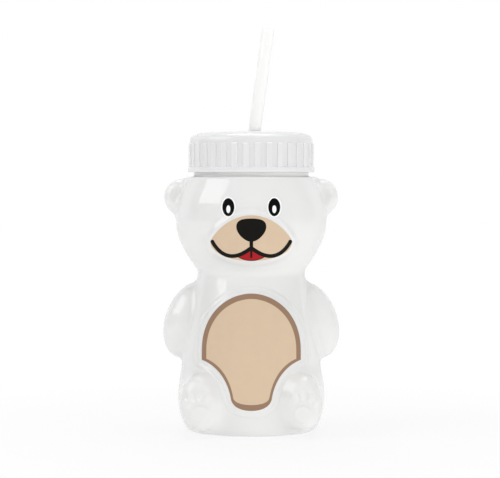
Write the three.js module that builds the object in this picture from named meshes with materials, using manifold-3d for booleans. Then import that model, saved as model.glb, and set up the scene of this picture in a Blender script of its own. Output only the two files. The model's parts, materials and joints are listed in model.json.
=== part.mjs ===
// A bear-shaped drinking bottle: a hollow moulded shell, a ribbed screw lid with its gasket,
// a leaning straw, and the printed colour films of the face and the belly.
// Millimetres, +Z up. The bear faces -Y, and the origin is under the middle of its base.
import * as THREE from "three";
import { mergeVertices } from "three/addons/utils/BufferGeometryUtils.js";
import Module from "manifold-3d";

const wasm = await Module();
wasm.setup();

// Shell: one hollow body, widths measured across X
const WALL = 1.4;
const BASE_RING_RADIUS = 32.5;
const BASE_RING_WIDTH = 6;
const PUSH_UP = 1.5;
const TORSO_HALF_WIDTH = 39.2;
const TORSO_WIDEST_Z = 26;
const TORSO_HEIGHT = 88.4;
const CREASE_HALF_WIDTH = 29.3;
const HEAD_HALF_WIDTH = 41.9;
const HEAD_WIDEST_ABOVE_CREASE = 28.1;
const HEAD_TOP_HALF_WIDTH = 36.2;
const HEAD_SIDE_HEIGHT = 50.2;
const SHOULDER_RISE = 2.3;
const SHOULDER_ROUND = 1.8;
const TORSO_DEPTH_RATIO = 0.9;
const HEAD_DEPTH_RATIO = 0.96;

// Limbs, ears and muzzle that swell out of the shell
const ARM_HALF_LENGTH = 22;
const ARM_HALF_WIDTH = 14;
const ARM_HALF_DEPTH = 12;
const ARM_SINK = 5.4;
const ARM_BELOW_CREASE = 27.2;
const ARM_TILT = THREE.MathUtils.degToRad(20.8);
const EAR_HALF_WIDTH = 9.5;
const EAR_HALF_HEIGHT = 10;
const EAR_HALF_DEPTH = 5.6;
const EAR_SINK = 3.1;
const EAR_ABOVE_CREASE = 41.1;
const FOOT_HALF_WIDTH = 11;
const FOOT_HALF_HEIGHT = 15.6;
const FOOT_HEEL_HALF_HEIGHT = 10.5;
const FOOT_LENGTH = 34;
const FOOT_ROUND = 7;
const FOOT_REACH = 4.4;
const FOOT_INSET = 11.6;
const FOOT_CLEARANCE = 3.2;
const HEEL_PAD_RADIUS = 4.7;
const HEEL_PAD_DROP = 4;
const TOE_COUNT = 4;
const TOE_HALF_WIDTH = 1.5;
const TOE_HALF_HEIGHT = 2.1;
const TOE_ARC_RADIUS = 9.4;
const TOE_ARC_SPREAD = THREE.MathUtils.degToRad(80);
const TOE_ARC_SPLAY = THREE.MathUtils.degToRad(14);
const PAD_RISE = 0.7;
const SNOUT_HALF_WIDTH = 24;
const SNOUT_HALF_HEIGHT = 16;
const SNOUT_HALF_DEPTH = 14;
const MUZZLE_RISE = 1.2;
const MUZZLE_MARGIN = 2;
const BELLY_PAD_RISE = 1.3;
const BELLY_PAD_MARGIN = 3.4;

// Neck finish with one round screw thread
const NECK_RADIUS = 30.3;
const NECK_WALL = 1.8;
const NECK_HEIGHT = 20.3;
const NECK_COLLAR_RISE = 0.9;
const NECK_COLLAR_HEIGHT = 1.2;
const THREAD_RADIUS = 1.2;
const THREAD_PITCH = 4.2;
const THREAD_TURNS = 1.25;
const THREAD_BELOW_RIM = 3.4;

// Lid and gasket
const LID_SKIRT_GAP = 2.4;
const LID_WALL = 2.1;
const LID_PANEL = 2.3;
const LID_SHOULDER_HEIGHT = 5.3;
const LID_SHOULDER_WIDTH = 9;
const THREAD_TIP_GAP = 0.45;
const THREAD_FLANK_GAP = 0.35;
const RIB_COUNT = 34;
const RIB_WIDTH = 3.5;
const RIB_RISE = 1.1;
const RIB_PHASE = THREE.MathUtils.degToRad(1.7);
const LID_BAND_HEIGHT = 2.6;
const GASKET_WIDTH = 3.8;
const GASKET_THICKNESS = 1.8;
const GASKET_SIDE_GAP = 0.35;
const SEAT_GAP = 0.1;

// Straw, leaning on the edge of its hole with its foot on the floor of the bottle
const STRAW_RADIUS = 3.5;
const STRAW_WALL = 0.7;
const STRAW_LENGTH = 221;
const STRAW_LEAN = THREE.MathUtils.degToRad(7.65);
const STRAW_HOLE_PLAY = 2.1;
const STRAW_GAP = 0.3;
const STOP_RING_RISE = 2.8;
const STOP_RING_WIDTH = 2;
const STOP_RING_ABOVE_FOOT = 28;

// Printed films: each layer floats a small gap above what it is printed on
const FILM_GAP = 0.3;
const FILM_THICKNESS = 0.25;
const FILM_SIDE_GAP = 0.3;
const EYE_SPACING = 24.6;
const EYE_ABOVE_PATCH = 4.3;
const EYE_HALF_WIDTH = 3.2;
const EYE_HALF_HEIGHT = 4.8;
const EYE_WHITE_MARGIN = 0.7;
const GLINT_HALF_WIDTH = 1.1;
const GLINT_HALF_HEIGHT = 2.3;
const GLINT_DROP = 1.1;
const MOUTH_ABOVE_CREASE = 14.5;
const PHILTRUM_LENGTH = 3.3;
const PHILTRUM_WIDTH = 1.9;
const NOSE_HALF_WIDTH = 8;
const NOSE_HEIGHT = 12.4;
const NOSE_WIDEST_BELOW_TOP = 4.5;
const SMILE_WIDTH = 1.5;
const SMILE_HALF_WIDTH = 20.9;
const SMILE_LOW_X = 10.5;
const SMILE_DEPTH = 4.5;
const SMILE_END_RISE = 3.1;
const TONGUE_HALF_WIDTH = 7;
const TONGUE_BELOW_SMILE = 2.4;
const TONGUE_LINE_WIDTH = 0.8;
const TONGUE_LINE_MARGIN = 2;
const PATCH_HALF_WIDTH = 21.2;
const PATCH_TIP_RISE = 4.5;
const PATCH_ABOVE_NOSE = 1.7;
const PATCH_DROP = 7.5;
const BELLY_TOP_BELOW_CREASE = 10;
const BELLY_HALF_WIDTH = 26.9;
const BELLY_DOME_HEIGHT = 31.7;
const BELLY_SIDE_HEIGHT = 4.7;
const BELLY_CROTCH_HALF_WIDTH = 10.9;
const BELLY_CROTCH_DROP = 20.1;
const BELLY_TAIL_HEIGHT = 7.4;
const BORDER_TOP = 2.9;
const BORDER_SIDE = 2.5;
const BORDER_HIP = 1.35;
const BORDER_BOTTOM = 3.2;

// Facets
const ROUND_SEGMENTS = 32;
const BALL_SEGMENTS = 16;
const HOLLOW_ROUND_SEGMENTS = 24;
const HOLLOW_BALL_SEGMENTS = 12;
const HEEL_PAD_SEGMENTS = 14;
const TOE_SEGMENTS = 8;
const STRAW_SEGMENTS = 24;
const THREAD_SECTION_STEPS = 3;
const SHAPE_STEPS = 6;

// Heights that follow from the sizes above
const headWidestZ = TORSO_HEIGHT + HEAD_WIDEST_ABOVE_CREASE;
const headSideTopZ = TORSO_HEIGHT + HEAD_SIDE_HEIGHT;
const shoulderZ = headSideTopZ + SHOULDER_RISE;
const rimZ = shoulderZ + NECK_HEIGHT;
const gasketZ = rimZ + SEAT_GAP;
const panelZ = gasketZ + GASKET_THICKNESS + SEAT_GAP;
const lidTopZ = panelZ + LID_PANEL;
const lidBottomZ = shoulderZ + LID_SKIRT_GAP;
const threadOffset = THREAD_RADIUS + THREAD_TIP_GAP;
const lidInnerRadius = NECK_RADIUS + threadOffset;
const lidOuterRadius = lidInnerRadius + LID_WALL;
const mouthZ = TORSO_HEIGHT + MOUTH_ABOVE_CREASE;
const noseBottomZ = mouthZ + PHILTRUM_LENGTH;
const noseTopZ = noseBottomZ + NOSE_HEIGHT;
const patchTopZ = noseTopZ + PATCH_ABOVE_NOSE;
const eyeZ = patchTopZ + EYE_ABOVE_PATCH;
const tongueBottomZ = mouthZ - SMILE_DEPTH - TONGUE_BELOW_SMILE;
const torsoDepth = TORSO_HALF_WIDTH * TORSO_DEPTH_RATIO;
const headDepth = HEAD_HALF_WIDTH * HEAD_DEPTH_RATIO;
const footFrontY = -(torsoDepth + FOOT_REACH);

const point = (x, y) => new THREE.Vector2(x, y);

// Points along a cubic curve, without its first point so that curves chain.
function curve(from, handleA, handleB, to, steps) {
  return new THREE.CubicBezierCurve(from, handleA, handleB, to).getPoints(steps).slice(1);
}

// Solids

// A closed geometry as a solid for joining and cutting.
function solidOf(geometry) {
  const bare = geometry.clone();
  bare.deleteAttribute("normal");
  bare.deleteAttribute("uv");
  const merged = mergeVertices(bare, 1e-4);
  const corners = merged.index.array;
  const kept = [];
  for (let i = 0; i < corners.length; i += 3) {
    const [a, b, c] = [corners[i], corners[i + 1], corners[i + 2]];
    if (a !== b && b !== c && c !== a) kept.push(a, b, c);
  }
  return new wasm.Manifold(
    new wasm.Mesh({
      numProp: 3,
      vertProperties: merged.attributes.position.array,
      triVerts: new Uint32Array(kept),
    }),
  );
}

// A solid as a geometry with flat-shaded faces.
function geometryOf(solid) {
  const { vertProperties, triVerts } = solid.getMesh();
  const geometry = new THREE.BufferGeometry();
  geometry.setAttribute("position", new THREE.BufferAttribute(new Float32Array(vertProperties), 3));
  geometry.setIndex([...triVerts]);
  const flat = geometry.toNonIndexed();
  flat.computeVertexNormals();
  return flat;
}

const join = (solids) => solids.reduce((whole, solid) => whole.add(solid));

// A profile of radius and height turned about Z, starting at the front.
function turned(profile, segments = ROUND_SEGMENTS) {
  return new THREE.LatheGeometry(profile, segments).rotateX(Math.PI / 2);
}

// A ball stretched to half-sizes along X, Y and Z, leaning about Y.
function ball(halfSizes, centre, lean, segments) {
  const geometry = new THREE.SphereGeometry(1, segments, Math.round(segments * 0.66));
  geometry.rotateX(Math.PI / 2).scale(...halfSizes).rotateY(lean).translate(...centre);
  return solidOf(geometry);
}

// A flat outline in X and Z, pushed from the middle of the bear out past its front.
function frontPrism(shape) {
  const geometry = new THREE.ExtrudeGeometry(shape, {
    depth: 2 * headDepth,
    bevelEnabled: false,
    curveSegments: SHAPE_STEPS,
  });
  return solidOf(geometry.rotateX(Math.PI / 2));
}

// Shell outlines

// How deep the bear is at a height, as a share of its width there.
function depthRatio(z) {
  const toHead = THREE.MathUtils.smoothstep(z, TORSO_HEIGHT, headWidestZ);
  const toNeck = THREE.MathUtils.smoothstep(z, headWidestZ, headSideTopZ);
  const head = THREE.MathUtils.lerp(TORSO_DEPTH_RATIO, HEAD_DEPTH_RATIO, toHead);
  return THREE.MathUtils.lerp(head, 1, toNeck);
}

// Moves each point of an outline outwards, square to the outline.
function grown(outline, distance) {
  return outline.map((at, i) => {
    const before = outline[Math.max(i - 1, 0)];
    const after = outline[Math.min(i + 1, outline.length - 1)];
    const along = after.clone().sub(before).normalize();
    const out = point(along.y, -along.x).multiplyScalar(distance);
    return point(Math.max(at.x + (at.x > 0 ? out.x : 0), 0), at.y + out.y);
  });
}

// From the middle of the base up to the crease under the head.
function torsoOutline() {
  const ringInner = BASE_RING_RADIUS - BASE_RING_WIDTH;
  const swell = TORSO_HALF_WIDTH - BASE_RING_RADIUS;
  const rise = TORSO_HEIGHT - TORSO_WIDEST_Z;
  const narrowing = TORSO_HALF_WIDTH - CREASE_HALF_WIDTH;
  const base = point(BASE_RING_RADIUS, 0);
  const widest = point(TORSO_HALF_WIDTH, TORSO_WIDEST_Z);
  const crease = point(CREASE_HALF_WIDTH, TORSO_HEIGHT);
  const cornerHandle = point(BASE_RING_RADIUS + swell * 0.67, 0);
  const sideHandle = point(TORSO_HALF_WIDTH, TORSO_WIDEST_Z * 0.3);
  const flankHandle = point(TORSO_HALF_WIDTH, TORSO_WIDEST_Z + rise * 0.35);
  const chestHandle = point(CREASE_HALF_WIDTH + narrowing * 0.52, TORSO_WIDEST_Z + rise * 0.64);
  return [
    point(0, PUSH_UP),
    point(ringInner - 2 * PUSH_UP, PUSH_UP),
    point(ringInner, 0),
    base,
    ...curve(base, cornerHandle, sideHandle, widest, 5),
    ...curve(widest, flankHandle, chestHandle, crease, 7),
  ];
}

// From the crease up to the flat shoulder round the neck.
function headOutline() {
  const swell = HEAD_HALF_WIDTH - CREASE_HALF_WIDTH;
  const rise = HEAD_WIDEST_ABOVE_CREASE;
  const topRise = headSideTopZ - headWidestZ;
  const taper = HEAD_HALF_WIDTH - HEAD_TOP_HALF_WIDTH;
  const crease = point(CREASE_HALF_WIDTH, TORSO_HEIGHT);
  const widest = point(HEAD_HALF_WIDTH, headWidestZ);
  const top = point(HEAD_TOP_HALF_WIDTH, headSideTopZ);
  const jawHandle = point(CREASE_HALF_WIDTH + swell * 0.41, TORSO_HEIGHT + rise * 0.25);
  const cheekHandle = point(HEAD_HALF_WIDTH, TORSO_HEIGHT + rise * 0.59);
  const templeHandle = point(HEAD_HALF_WIDTH, headWidestZ + topRise * 0.34);
  const crownHandle = point(HEAD_TOP_HALF_WIDTH + taper * 0.58, headSideTopZ - topRise * 0.3);
  const edge = point(HEAD_TOP_HALF_WIDTH - SHOULDER_ROUND, shoulderZ - 0.3 * SHOULDER_RISE);
  const edgeHandle = point(HEAD_TOP_HALF_WIDTH - 0.2 * SHOULDER_ROUND, edge.y);
  return [
    ...curve(crease, jawHandle, cheekHandle, widest, 7),
    ...curve(widest, templeHandle, crownHandle, top, 4),
    ...curve(top, top, edgeHandle, edge, 2),
  ];
}

// A stretch of outline closed to the axis and turned into the bear's flattened round.
function bearRound(outline, segments = ROUND_SEGMENTS) {
  const profile = [...outline];
  if (profile[0].x > 0) profile.unshift(point(0, profile[0].y));
  profile.push(point(0, profile.at(-1).y));
  const geometry = turned(profile, segments);
  const places = geometry.attributes.position;
  for (let i = 0; i < places.count; i += 1) {
    places.setY(i, places.getY(i) * depthRatio(places.getZ(i)));
  }
  return solidOf(geometry);
}

const wholeOutline = [...torsoOutline(), ...headOutline()];

// Limbs: each takes the wall to leave out, so the same call makes its outside and its hollow

// A hollow can't be seen, so it has fewer facets than an outside.
const ballSegments = (inset) => (inset > 0 ? HOLLOW_BALL_SEGMENTS : BALL_SEGMENTS);

function arm(side, inset) {
  const halfSizes = [ARM_HALF_WIDTH, ARM_HALF_DEPTH, ARM_HALF_LENGTH].map((half) => half - inset);
  const centre = [side * (TORSO_HALF_WIDTH - ARM_SINK), 0, TORSO_HEIGHT - ARM_BELOW_CREASE];
  return ball(halfSizes, centre, -side * ARM_TILT, ballSegments(inset));
}

function ear(side, inset) {
  const halfSizes = [EAR_HALF_WIDTH, EAR_HALF_DEPTH, EAR_HALF_HEIGHT].map((half) => half - inset);
  const centre = [side * (HEAD_HALF_WIDTH - EAR_SINK), 0, TORSO_HEIGHT + EAR_ABOVE_CREASE];
  return ball(halfSizes, centre, 0, ballSegments(inset));
}

// The ball that fills out the face under the nose.
function snout(inset) {
  const halfSizes = [SNOUT_HALF_WIDTH, SNOUT_HALF_DEPTH, SNOUT_HALF_HEIGHT].map((half) => half - inset);
  const centre = [0, SNOUT_HALF_DEPTH - headDepth - MUZZLE_RISE, noseBottomZ];
  return ball(halfSizes, centre, 0, ballSegments(inset) + 4);
}

const footCentre = (side) => ({
  x: side * (TORSO_HALF_WIDTH - FOOT_INSET),
  z: FOOT_HALF_HEIGHT + FOOT_CLEARANCE,
});

// A stubby foot with a flat round-edged sole, turned about Y and narrowed to its width.
function foot(side, inset) {
  const radius = FOOT_HALF_HEIGHT - inset;
  const sole = footFrontY + inset;
  const heel = footFrontY + FOOT_LENGTH;
  const edge = point(radius - FOOT_ROUND, sole);
  const ankle = point(radius, sole + FOOT_ROUND);
  const soleHandle = point(radius - FOOT_ROUND * 0.45, sole);
  const ankleHandle = point(radius, sole + FOOT_ROUND * 0.45);
  const back = point(FOOT_HEEL_HALF_HEIGHT - inset, heel);
  const thighHandle = point(radius, sole + FOOT_LENGTH * 0.5);
  const backHandle = point(back.x, heel - FOOT_LENGTH * 0.2);
  const round = curve(edge, soleHandle, ankleHandle, ankle, 4);
  const thigh = curve(ankle, thighHandle, backHandle, back, 4);
  const profile = [point(0, sole), edge, ...round, ...thigh, point(0, heel)];
  const { x, z } = footCentre(side);
  const geometry = new THREE.LatheGeometry(profile, ballSegments(inset) + 2);
  return solidOf(geometry.scale((FOOT_HALF_WIDTH - inset) / radius, 1, 1).translate(x, 0, z));
}

// The heel pad and the toes that stand proud of a sole.
function pawPads(side) {
  const { x, z } = footCentre(side);
  const heelZ = z - HEEL_PAD_DROP;
  const heelHalf = [HEEL_PAD_RADIUS, PAD_RISE, HEEL_PAD_RADIUS * 0.9];
  const toeHalf = [TOE_HALF_WIDTH, PAD_RISE, TOE_HALF_HEIGHT];
  const pads = [ball(heelHalf, [x, footFrontY, heelZ], 0, HEEL_PAD_SEGMENTS)];
  for (let toe = 0; toe < TOE_COUNT; toe += 1) {
    const turn = side * TOE_ARC_SPLAY + TOE_ARC_SPREAD * (toe / (TOE_COUNT - 1) - 0.5);
    const toeX = x + TOE_ARC_RADIUS * Math.sin(turn);
    const toeZ = heelZ + TOE_ARC_RADIUS * Math.cos(turn);
    pads.push(ball(toeHalf, [toeX, footFrontY, toeZ], turn, TOE_SEGMENTS));
  }
  return join(pads);
}

// Outlines of the prints

// A closed shape from the right half of its outline, listed from its top to its bottom.
function mirroredShape(rightHalf) {
  const leftHalf = rightHalf.filter((at) => at.x > 0).map((at) => point(-at.x, at.y));
  return new THREE.Shape([...rightHalf, ...leftHalf.reverse()]);
}

// The belly: a dome over straight sides that curve in round the thighs to a rounded tail.
function bellyShape(inset) {
  const crownZ = TORSO_HEIGHT - BELLY_TOP_BELOW_CREASE;
  const sideZ = crownZ - BELLY_DOME_HEIGHT;
  const hipZ = sideZ - BELLY_SIDE_HEIGHT;
  const crotchZ = hipZ - BELLY_CROTCH_DROP;
  const top = point(0, crownZ - inset.top);
  const side = point(BELLY_HALF_WIDTH - inset.side, sideZ);
  const corner = point(side.x, hipZ + inset.hip * 0.5);
  const crotch = point(BELLY_CROTCH_HALF_WIDTH - inset.hip, crotchZ);
  const tail = point(0, crotchZ - BELLY_TAIL_HEIGHT + inset.bottom);
  const dome = top.y - side.y;
  const hip = corner.clone().sub(crotch);
  const tailDrop = crotch.y - tail.y;
  const domeHandle = point(0.415 * side.x, top.y);
  const sideHandle = point(side.x, side.y + 0.55 * dome);
  const cornerHandle = point(corner.x - 0.41 * hip.x, corner.y - 0.12 * hip.y);
  const thighHandle = point(crotch.x + 0.13 * hip.x, crotch.y + 0.48 * hip.y);
  const crotchHandle = point(0.93 * crotch.x, crotch.y - 0.6 * tailDrop);
  const tailHandle = point(0.55 * crotch.x, tail.y);
  return mirroredShape([
    top,
    ...curve(top, domeHandle, sideHandle, side, SHAPE_STEPS),
    corner,
    ...curve(corner, cornerHandle, thighHandle, crotch, SHAPE_STEPS),
    ...curve(crotch, crotchHandle, tailHandle, tail, SHAPE_STEPS),
  ]);
}

const evenInset = (inset) => ({ top: inset, side: inset, hip: inset, bottom: inset });

function ovalShape(x, z, halfWidth, halfHeight) {
  return new THREE.Shape().absellipse(x, z, halfWidth, halfHeight, 0, 2 * Math.PI);
}

// The black of an eye, with a hole where the white under it glints through.
function eyeShape(x, z) {
  const shape = ovalShape(x, z, EYE_HALF_WIDTH, EYE_HALF_HEIGHT);
  shape.holes.push(ovalShape(x, z - GLINT_DROP, GLINT_HALF_WIDTH, GLINT_HALF_HEIGHT));
  return shape;
}

// The nose: a rounded triangle, widest near its flat top.
function noseShape() {
  const top = point(0, noseTopZ);
  const widest = point(NOSE_HALF_WIDTH, noseTopZ - NOSE_WIDEST_BELOW_TOP);
  const bottom = point(0, noseBottomZ);
  const fall = widest.y - bottom.y;
  const topHandle = point(0.65 * widest.x, top.y);
  const browHandle = point(widest.x, top.y - 0.22 * NOSE_WIDEST_BELOW_TOP);
  const sideHandle = point(widest.x, widest.y - 0.42 * fall);
  const bottomHandle = point(0.46 * widest.x, bottom.y);
  return mirroredShape([
    top,
    ...curve(top, topHandle, browHandle, widest, SHAPE_STEPS),
    ...curve(widest, sideHandle, bottomHandle, bottom, SHAPE_STEPS),
  ]);
}

// The muzzle patch: a wide almond with its tips at the corners of the smile.
function muzzleShape(margin) {
  const top = point(0, patchTopZ + margin);
  const tip = point(PATCH_HALF_WIDTH + margin, mouthZ + PATCH_TIP_RISE);
  const bottom = point(0, mouthZ - PATCH_DROP - margin);
  const rise = top.y - tip.y;
  const fall = tip.y - bottom.y;
  const topHandle = point(0.4 * tip.x, top.y);
  const cheekHandle = point(0.78 * tip.x, tip.y + 0.59 * rise);
  const tipHandle = point(1.06 * tip.x, tip.y - 0.37 * fall);
  const chinHandle = point(0.64 * tip.x, bottom.y);
  return mirroredShape([
    top,
    ...curve(top, topHandle, cheekHandle, tip, SHAPE_STEPS),
    ...curve(tip, tipHandle, chinHandle, bottom, SHAPE_STEPS),
  ]);
}

// A line of even width with round ends along a path of points.
function strokeShape(path, width) {
  const last = path.length - 1;
  const sides = path.map((at, i) => {
    const along = path[Math.min(i + 1, last)].clone().sub(path[Math.max(i - 1, 0)]);
    const out = point(-along.y, along.x).setLength(width / 2);
    return { at, out };
  });
  const roundEnd = ({ at, out }, startAngle) =>
    [1, 2, 3, 4, 5].map((step) => {
      const turn = THREE.MathUtils.degToRad(startAngle - 30 * step);
      return out.clone().rotateAround(point(0, 0), turn).add(at);
    });
  const leftSide = sides.map(({ at, out }) => at.clone().add(out));
  const rightSide = sides.map(({ at, out }) => at.clone().sub(out)).reverse();
  const farEnd = roundEnd(sides[last], 0);
  const nearEnd = roundEnd(sides[0], 180);
  return new THREE.Shape([...leftSide, ...farEnd, ...rightSide, ...nearEnd]);
}

// Half of the smile, from under the nose out to a corner of the mouth.
function smilePath(side) {
  const start = point(0, mouthZ);
  const low = point(side * SMILE_LOW_X, mouthZ - SMILE_DEPTH);
  const end = point(side * SMILE_HALF_WIDTH, mouthZ + SMILE_END_RISE);
  const run = end.x - low.x;
  const rise = end.y - low.y;
  const dipHandle = point(0.31 * low.x, start.y - 0.53 * SMILE_DEPTH);
  const lowHandle = point(0.62 * low.x, low.y);
  const cheekHandle = point(low.x + 0.41 * run, low.y);
  const endHandle = point(low.x + 0.78 * run, low.y + 0.43 * rise);
  return [
    start,
    ...curve(start, dipHandle, lowHandle, low, SHAPE_STEPS),
    ...curve(low, cheekHandle, endHandle, end, SHAPE_STEPS),
  ];
}

// The mouth as one set of lines, all wider by a margin.
function mouthPrism(margin) {
  const lines = [1, -1].map((side) => strokeShape(smilePath(side), SMILE_WIDTH + 2 * margin));
  const philtrumTop = point(0, noseBottomZ - FILM_SIDE_GAP - PHILTRUM_WIDTH / 2);
  lines.push(strokeShape([philtrumTop, point(0, mouthZ)], PHILTRUM_WIDTH + 2 * margin));
  const tongueLineEnd = point(0, tongueBottomZ + TONGUE_LINE_MARGIN);
  lines.push(strokeShape([point(0, mouthZ), tongueLineEnd], TONGUE_LINE_WIDTH + 2 * margin));
  return join(lines.map(frontPrism));
}

// The tongue under the dip of the smile, before the lines of the mouth are cut out of it.
function tongueShape() {
  const top = point(0, mouthZ);
  const corner = point(TONGUE_HALF_WIDTH, mouthZ - 0.9 * SMILE_DEPTH);
  const bottom = point(0, tongueBottomZ);
  const cornerHandle = point(0.66 * corner.x, bottom.y + 0.1 * TONGUE_BELOW_SMILE);
  const bottomHandle = point(0.4 * corner.x, bottom.y);
  return mirroredShape([
    top,
    corner,
    ...curve(corner, cornerHandle, bottomHandle, bottom, SHAPE_STEPS),
  ]);
}

// Films: thin shells of the bear's own surface, cut to an outline

const headForm = (lift) => bearRound(grown(headOutline(), lift));

// The raised muzzle, following the outline of its printed patch.
function muzzleBoss(lift) {
  const raised = headForm(MUZZLE_RISE + lift).add(snout(-lift));
  return raised.intersect(frontPrism(muzzleShape(MUZZLE_MARGIN + lift)));
}

const faceForm = (lift) => headForm(lift).add(muzzleBoss(lift));

function bellyForm(lift) {
  return bearRound(grown(torsoOutline(), BELLY_PAD_RISE + lift));
}

// The film on a printed layer, counted up from 0, as a shell over the whole form.
function filmOver(form, layer) {
  const lift = FILM_GAP + layer * (FILM_THICKNESS + FILM_GAP);
  return form(lift + FILM_THICKNESS).subtract(form(lift));
}

const faceFilms = [filmOver(faceForm, 0), filmOver(faceForm, 1)];
const bellyFilms = [filmOver(bellyForm, 0), filmOver(bellyForm, 1)];

// Threads

// A screw line of a radius that climbs one pitch a turn.
class ScrewLine extends THREE.Curve {
  constructor(radius, bottomZ) {
    super();
    this.radius = radius;
    this.bottomZ = bottomZ;
  }

  getPoint(t, target = new THREE.Vector3()) {
    const turn = 2 * Math.PI * THREAD_TURNS * t;
    const z = this.bottomZ + THREAD_PITCH * THREAD_TURNS * t;
    return target.set(this.radius * Math.sin(turn), -this.radius * Math.cos(turn), z);
  }
}

function threadRidge(radius, bottomZ, ridgeRadius) {
  const section = new THREE.Shape().absarc(0, 0, ridgeRadius, 0, 2 * Math.PI);
  const geometry = new THREE.ExtrudeGeometry(section, {
    steps: Math.round(ROUND_SEGMENTS * THREAD_TURNS),
    curveSegments: THREAD_SECTION_STEPS,
    extrudePath: new ScrewLine(radius, bottomZ),
  });
  return solidOf(geometry);
}

const neckThreadZ = rimZ - THREAD_BELOW_RIM - THREAD_TURNS * THREAD_PITCH;

// Pieces

function bottleShell() {
  const limbs = [];
  const inside = bearRound(grown(wholeOutline, -WALL), HOLLOW_ROUND_SEGMENTS);
  const hollows = [inside, snout(WALL)];
  for (const side of [1, -1]) {
    limbs.push(arm(side, 0), ear(side, 0), foot(side, 0), pawPads(side));
    hollows.push(arm(side, WALL), ear(side, WALL), foot(side, WALL));
  }
  const padOutline = bellyShape(evenInset(-BELLY_PAD_MARGIN));
  const bellyPad = bellyForm(0).intersect(frontPrism(padOutline));
  const collarRadius = NECK_RADIUS + NECK_COLLAR_RISE;
  const collarTopZ = shoulderZ + NECK_COLLAR_HEIGHT;
  const neckFootZ = shoulderZ - SHOULDER_RISE;
  const neck = solidOf(
    turned([
      point(0, neckFootZ),
      point(collarRadius, neckFootZ),
      point(collarRadius, collarTopZ),
      point(NECK_RADIUS, collarTopZ + NECK_COLLAR_RISE),
      point(NECK_RADIUS, rimZ),
      point(0, rimZ),
    ]),
  );
  const thread = threadRidge(NECK_RADIUS, neckThreadZ, THREAD_RADIUS);
  const boreLength = NECK_HEIGHT + SHOULDER_RISE + 3 * WALL;
  const boreRadius = NECK_RADIUS - NECK_WALL;
  const boreBottomZ = rimZ + WALL - boreLength;
  const bore = solidOf(
    turned([
      point(0, boreBottomZ),
      point(boreRadius, boreBottomZ),
      point(boreRadius, rimZ + WALL),
      point(0, rimZ + WALL),
    ]),
  );
  const outside = join([bearRound(wholeOutline), muzzleBoss(0), bellyPad, neck, thread, ...limbs]);
  return outside.subtract(join([...hollows, bore]));
}

// The cap: a turned cup with grip ribs outside, a thread ridge inside and the straw hole.
function screwLid() {
  const shoulderBottomZ = lidTopZ - LID_SHOULDER_HEIGHT;
  const bandRadius = lidOuterRadius + RIB_RISE;
  const side = point(lidOuterRadius + RIB_RISE * 0.3, shoulderBottomZ);
  const sideHandle = point(side.x, shoulderBottomZ + LID_SHOULDER_HEIGHT * 0.68);
  const crown = point(lidOuterRadius - LID_SHOULDER_WIDTH, lidTopZ);
  const crownHandle = point(lidOuterRadius - LID_SHOULDER_WIDTH * 0.3, lidTopZ - LID_SHOULDER_HEIGHT * 0.08);
  const cup = solidOf(
    turned(
      [
        point(0, panelZ),
        point(lidInnerRadius, panelZ),
        point(lidInnerRadius, lidBottomZ),
        point(bandRadius, lidBottomZ),
        point(bandRadius, lidBottomZ + LID_BAND_HEIGHT),
        point(lidOuterRadius, lidBottomZ + LID_BAND_HEIGHT),
        point(lidOuterRadius, shoulderBottomZ),
        side,
        ...curve(side, sideHandle, crownHandle, crown, 5),
        point(0, lidTopZ),
      ],
      RIB_COUNT,
    ),
  );
  const ribHeight = shoulderBottomZ - lidBottomZ - LID_BAND_HEIGHT;
  const ribDepth = RIB_RISE + LID_WALL / 2;
  const ribs = [];
  for (let i = 0; i < RIB_COUNT; i += 1) {
    const rib = new THREE.BoxGeometry(RIB_WIDTH, ribDepth, ribHeight);
    rib.translate(0, -(bandRadius - ribDepth / 2), shoulderBottomZ - ribHeight / 2);
    ribs.push(solidOf(rib.rotateZ(RIB_PHASE + ((i + 0.5) * 2 * Math.PI) / RIB_COUNT)));
  }
  const threadZ = neckThreadZ - THREAD_PITCH / 2;
  const ridgeSpacing = Math.hypot(THREAD_PITCH / 2, threadOffset);
  const ridgeRadius = ridgeSpacing - THREAD_RADIUS - THREAD_FLANK_GAP;
  const thread = threadRidge(lidInnerRadius, threadZ, ridgeRadius);
  const holeRadius = STRAW_RADIUS + STRAW_HOLE_PLAY;
  const hole = new THREE.CylinderGeometry(holeRadius, holeRadius, 3 * LID_PANEL, ROUND_SEGMENTS);
  hole.rotateX(Math.PI / 2).translate(0, 0, panelZ + LID_PANEL / 2);
  return join([cup, thread, ...ribs]).subtract(solidOf(hole));
}

// The soft ring between the rim of the neck and the panel of the lid.
function lidGasket() {
  const outer = lidInnerRadius - GASKET_SIDE_GAP;
  const inner = outer - GASKET_WIDTH;
  const topZ = gasketZ + GASKET_THICKNESS;
  const section = [
    point(inner, gasketZ),
    point(outer, gasketZ),
    point(outer, topZ),
    point(inner, topZ),
    point(inner, gasketZ),
  ];
  return solidOf(turned(section));
}

// The tube along its own Z from its foot, with the stop ring that keeps it in the lid.
function straw() {
  const bore = STRAW_RADIUS - STRAW_WALL;
  const stop = STRAW_RADIUS + STOP_RING_RISE;
  const ringTop = STOP_RING_ABOVE_FOOT + STOP_RING_WIDTH;
  const profile = [
    point(bore, 0),
    point(STRAW_RADIUS, 0),
    point(STRAW_RADIUS, STOP_RING_ABOVE_FOOT),
    point(stop, STOP_RING_ABOVE_FOOT),
    point(stop, ringTop),
    point(STRAW_RADIUS, ringTop),
    point(STRAW_RADIUS, STRAW_LENGTH),
    point(bore, STRAW_LENGTH),
    point(bore, 0),
  ];
  return solidOf(turned(profile, STRAW_SEGMENTS));
}

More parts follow.
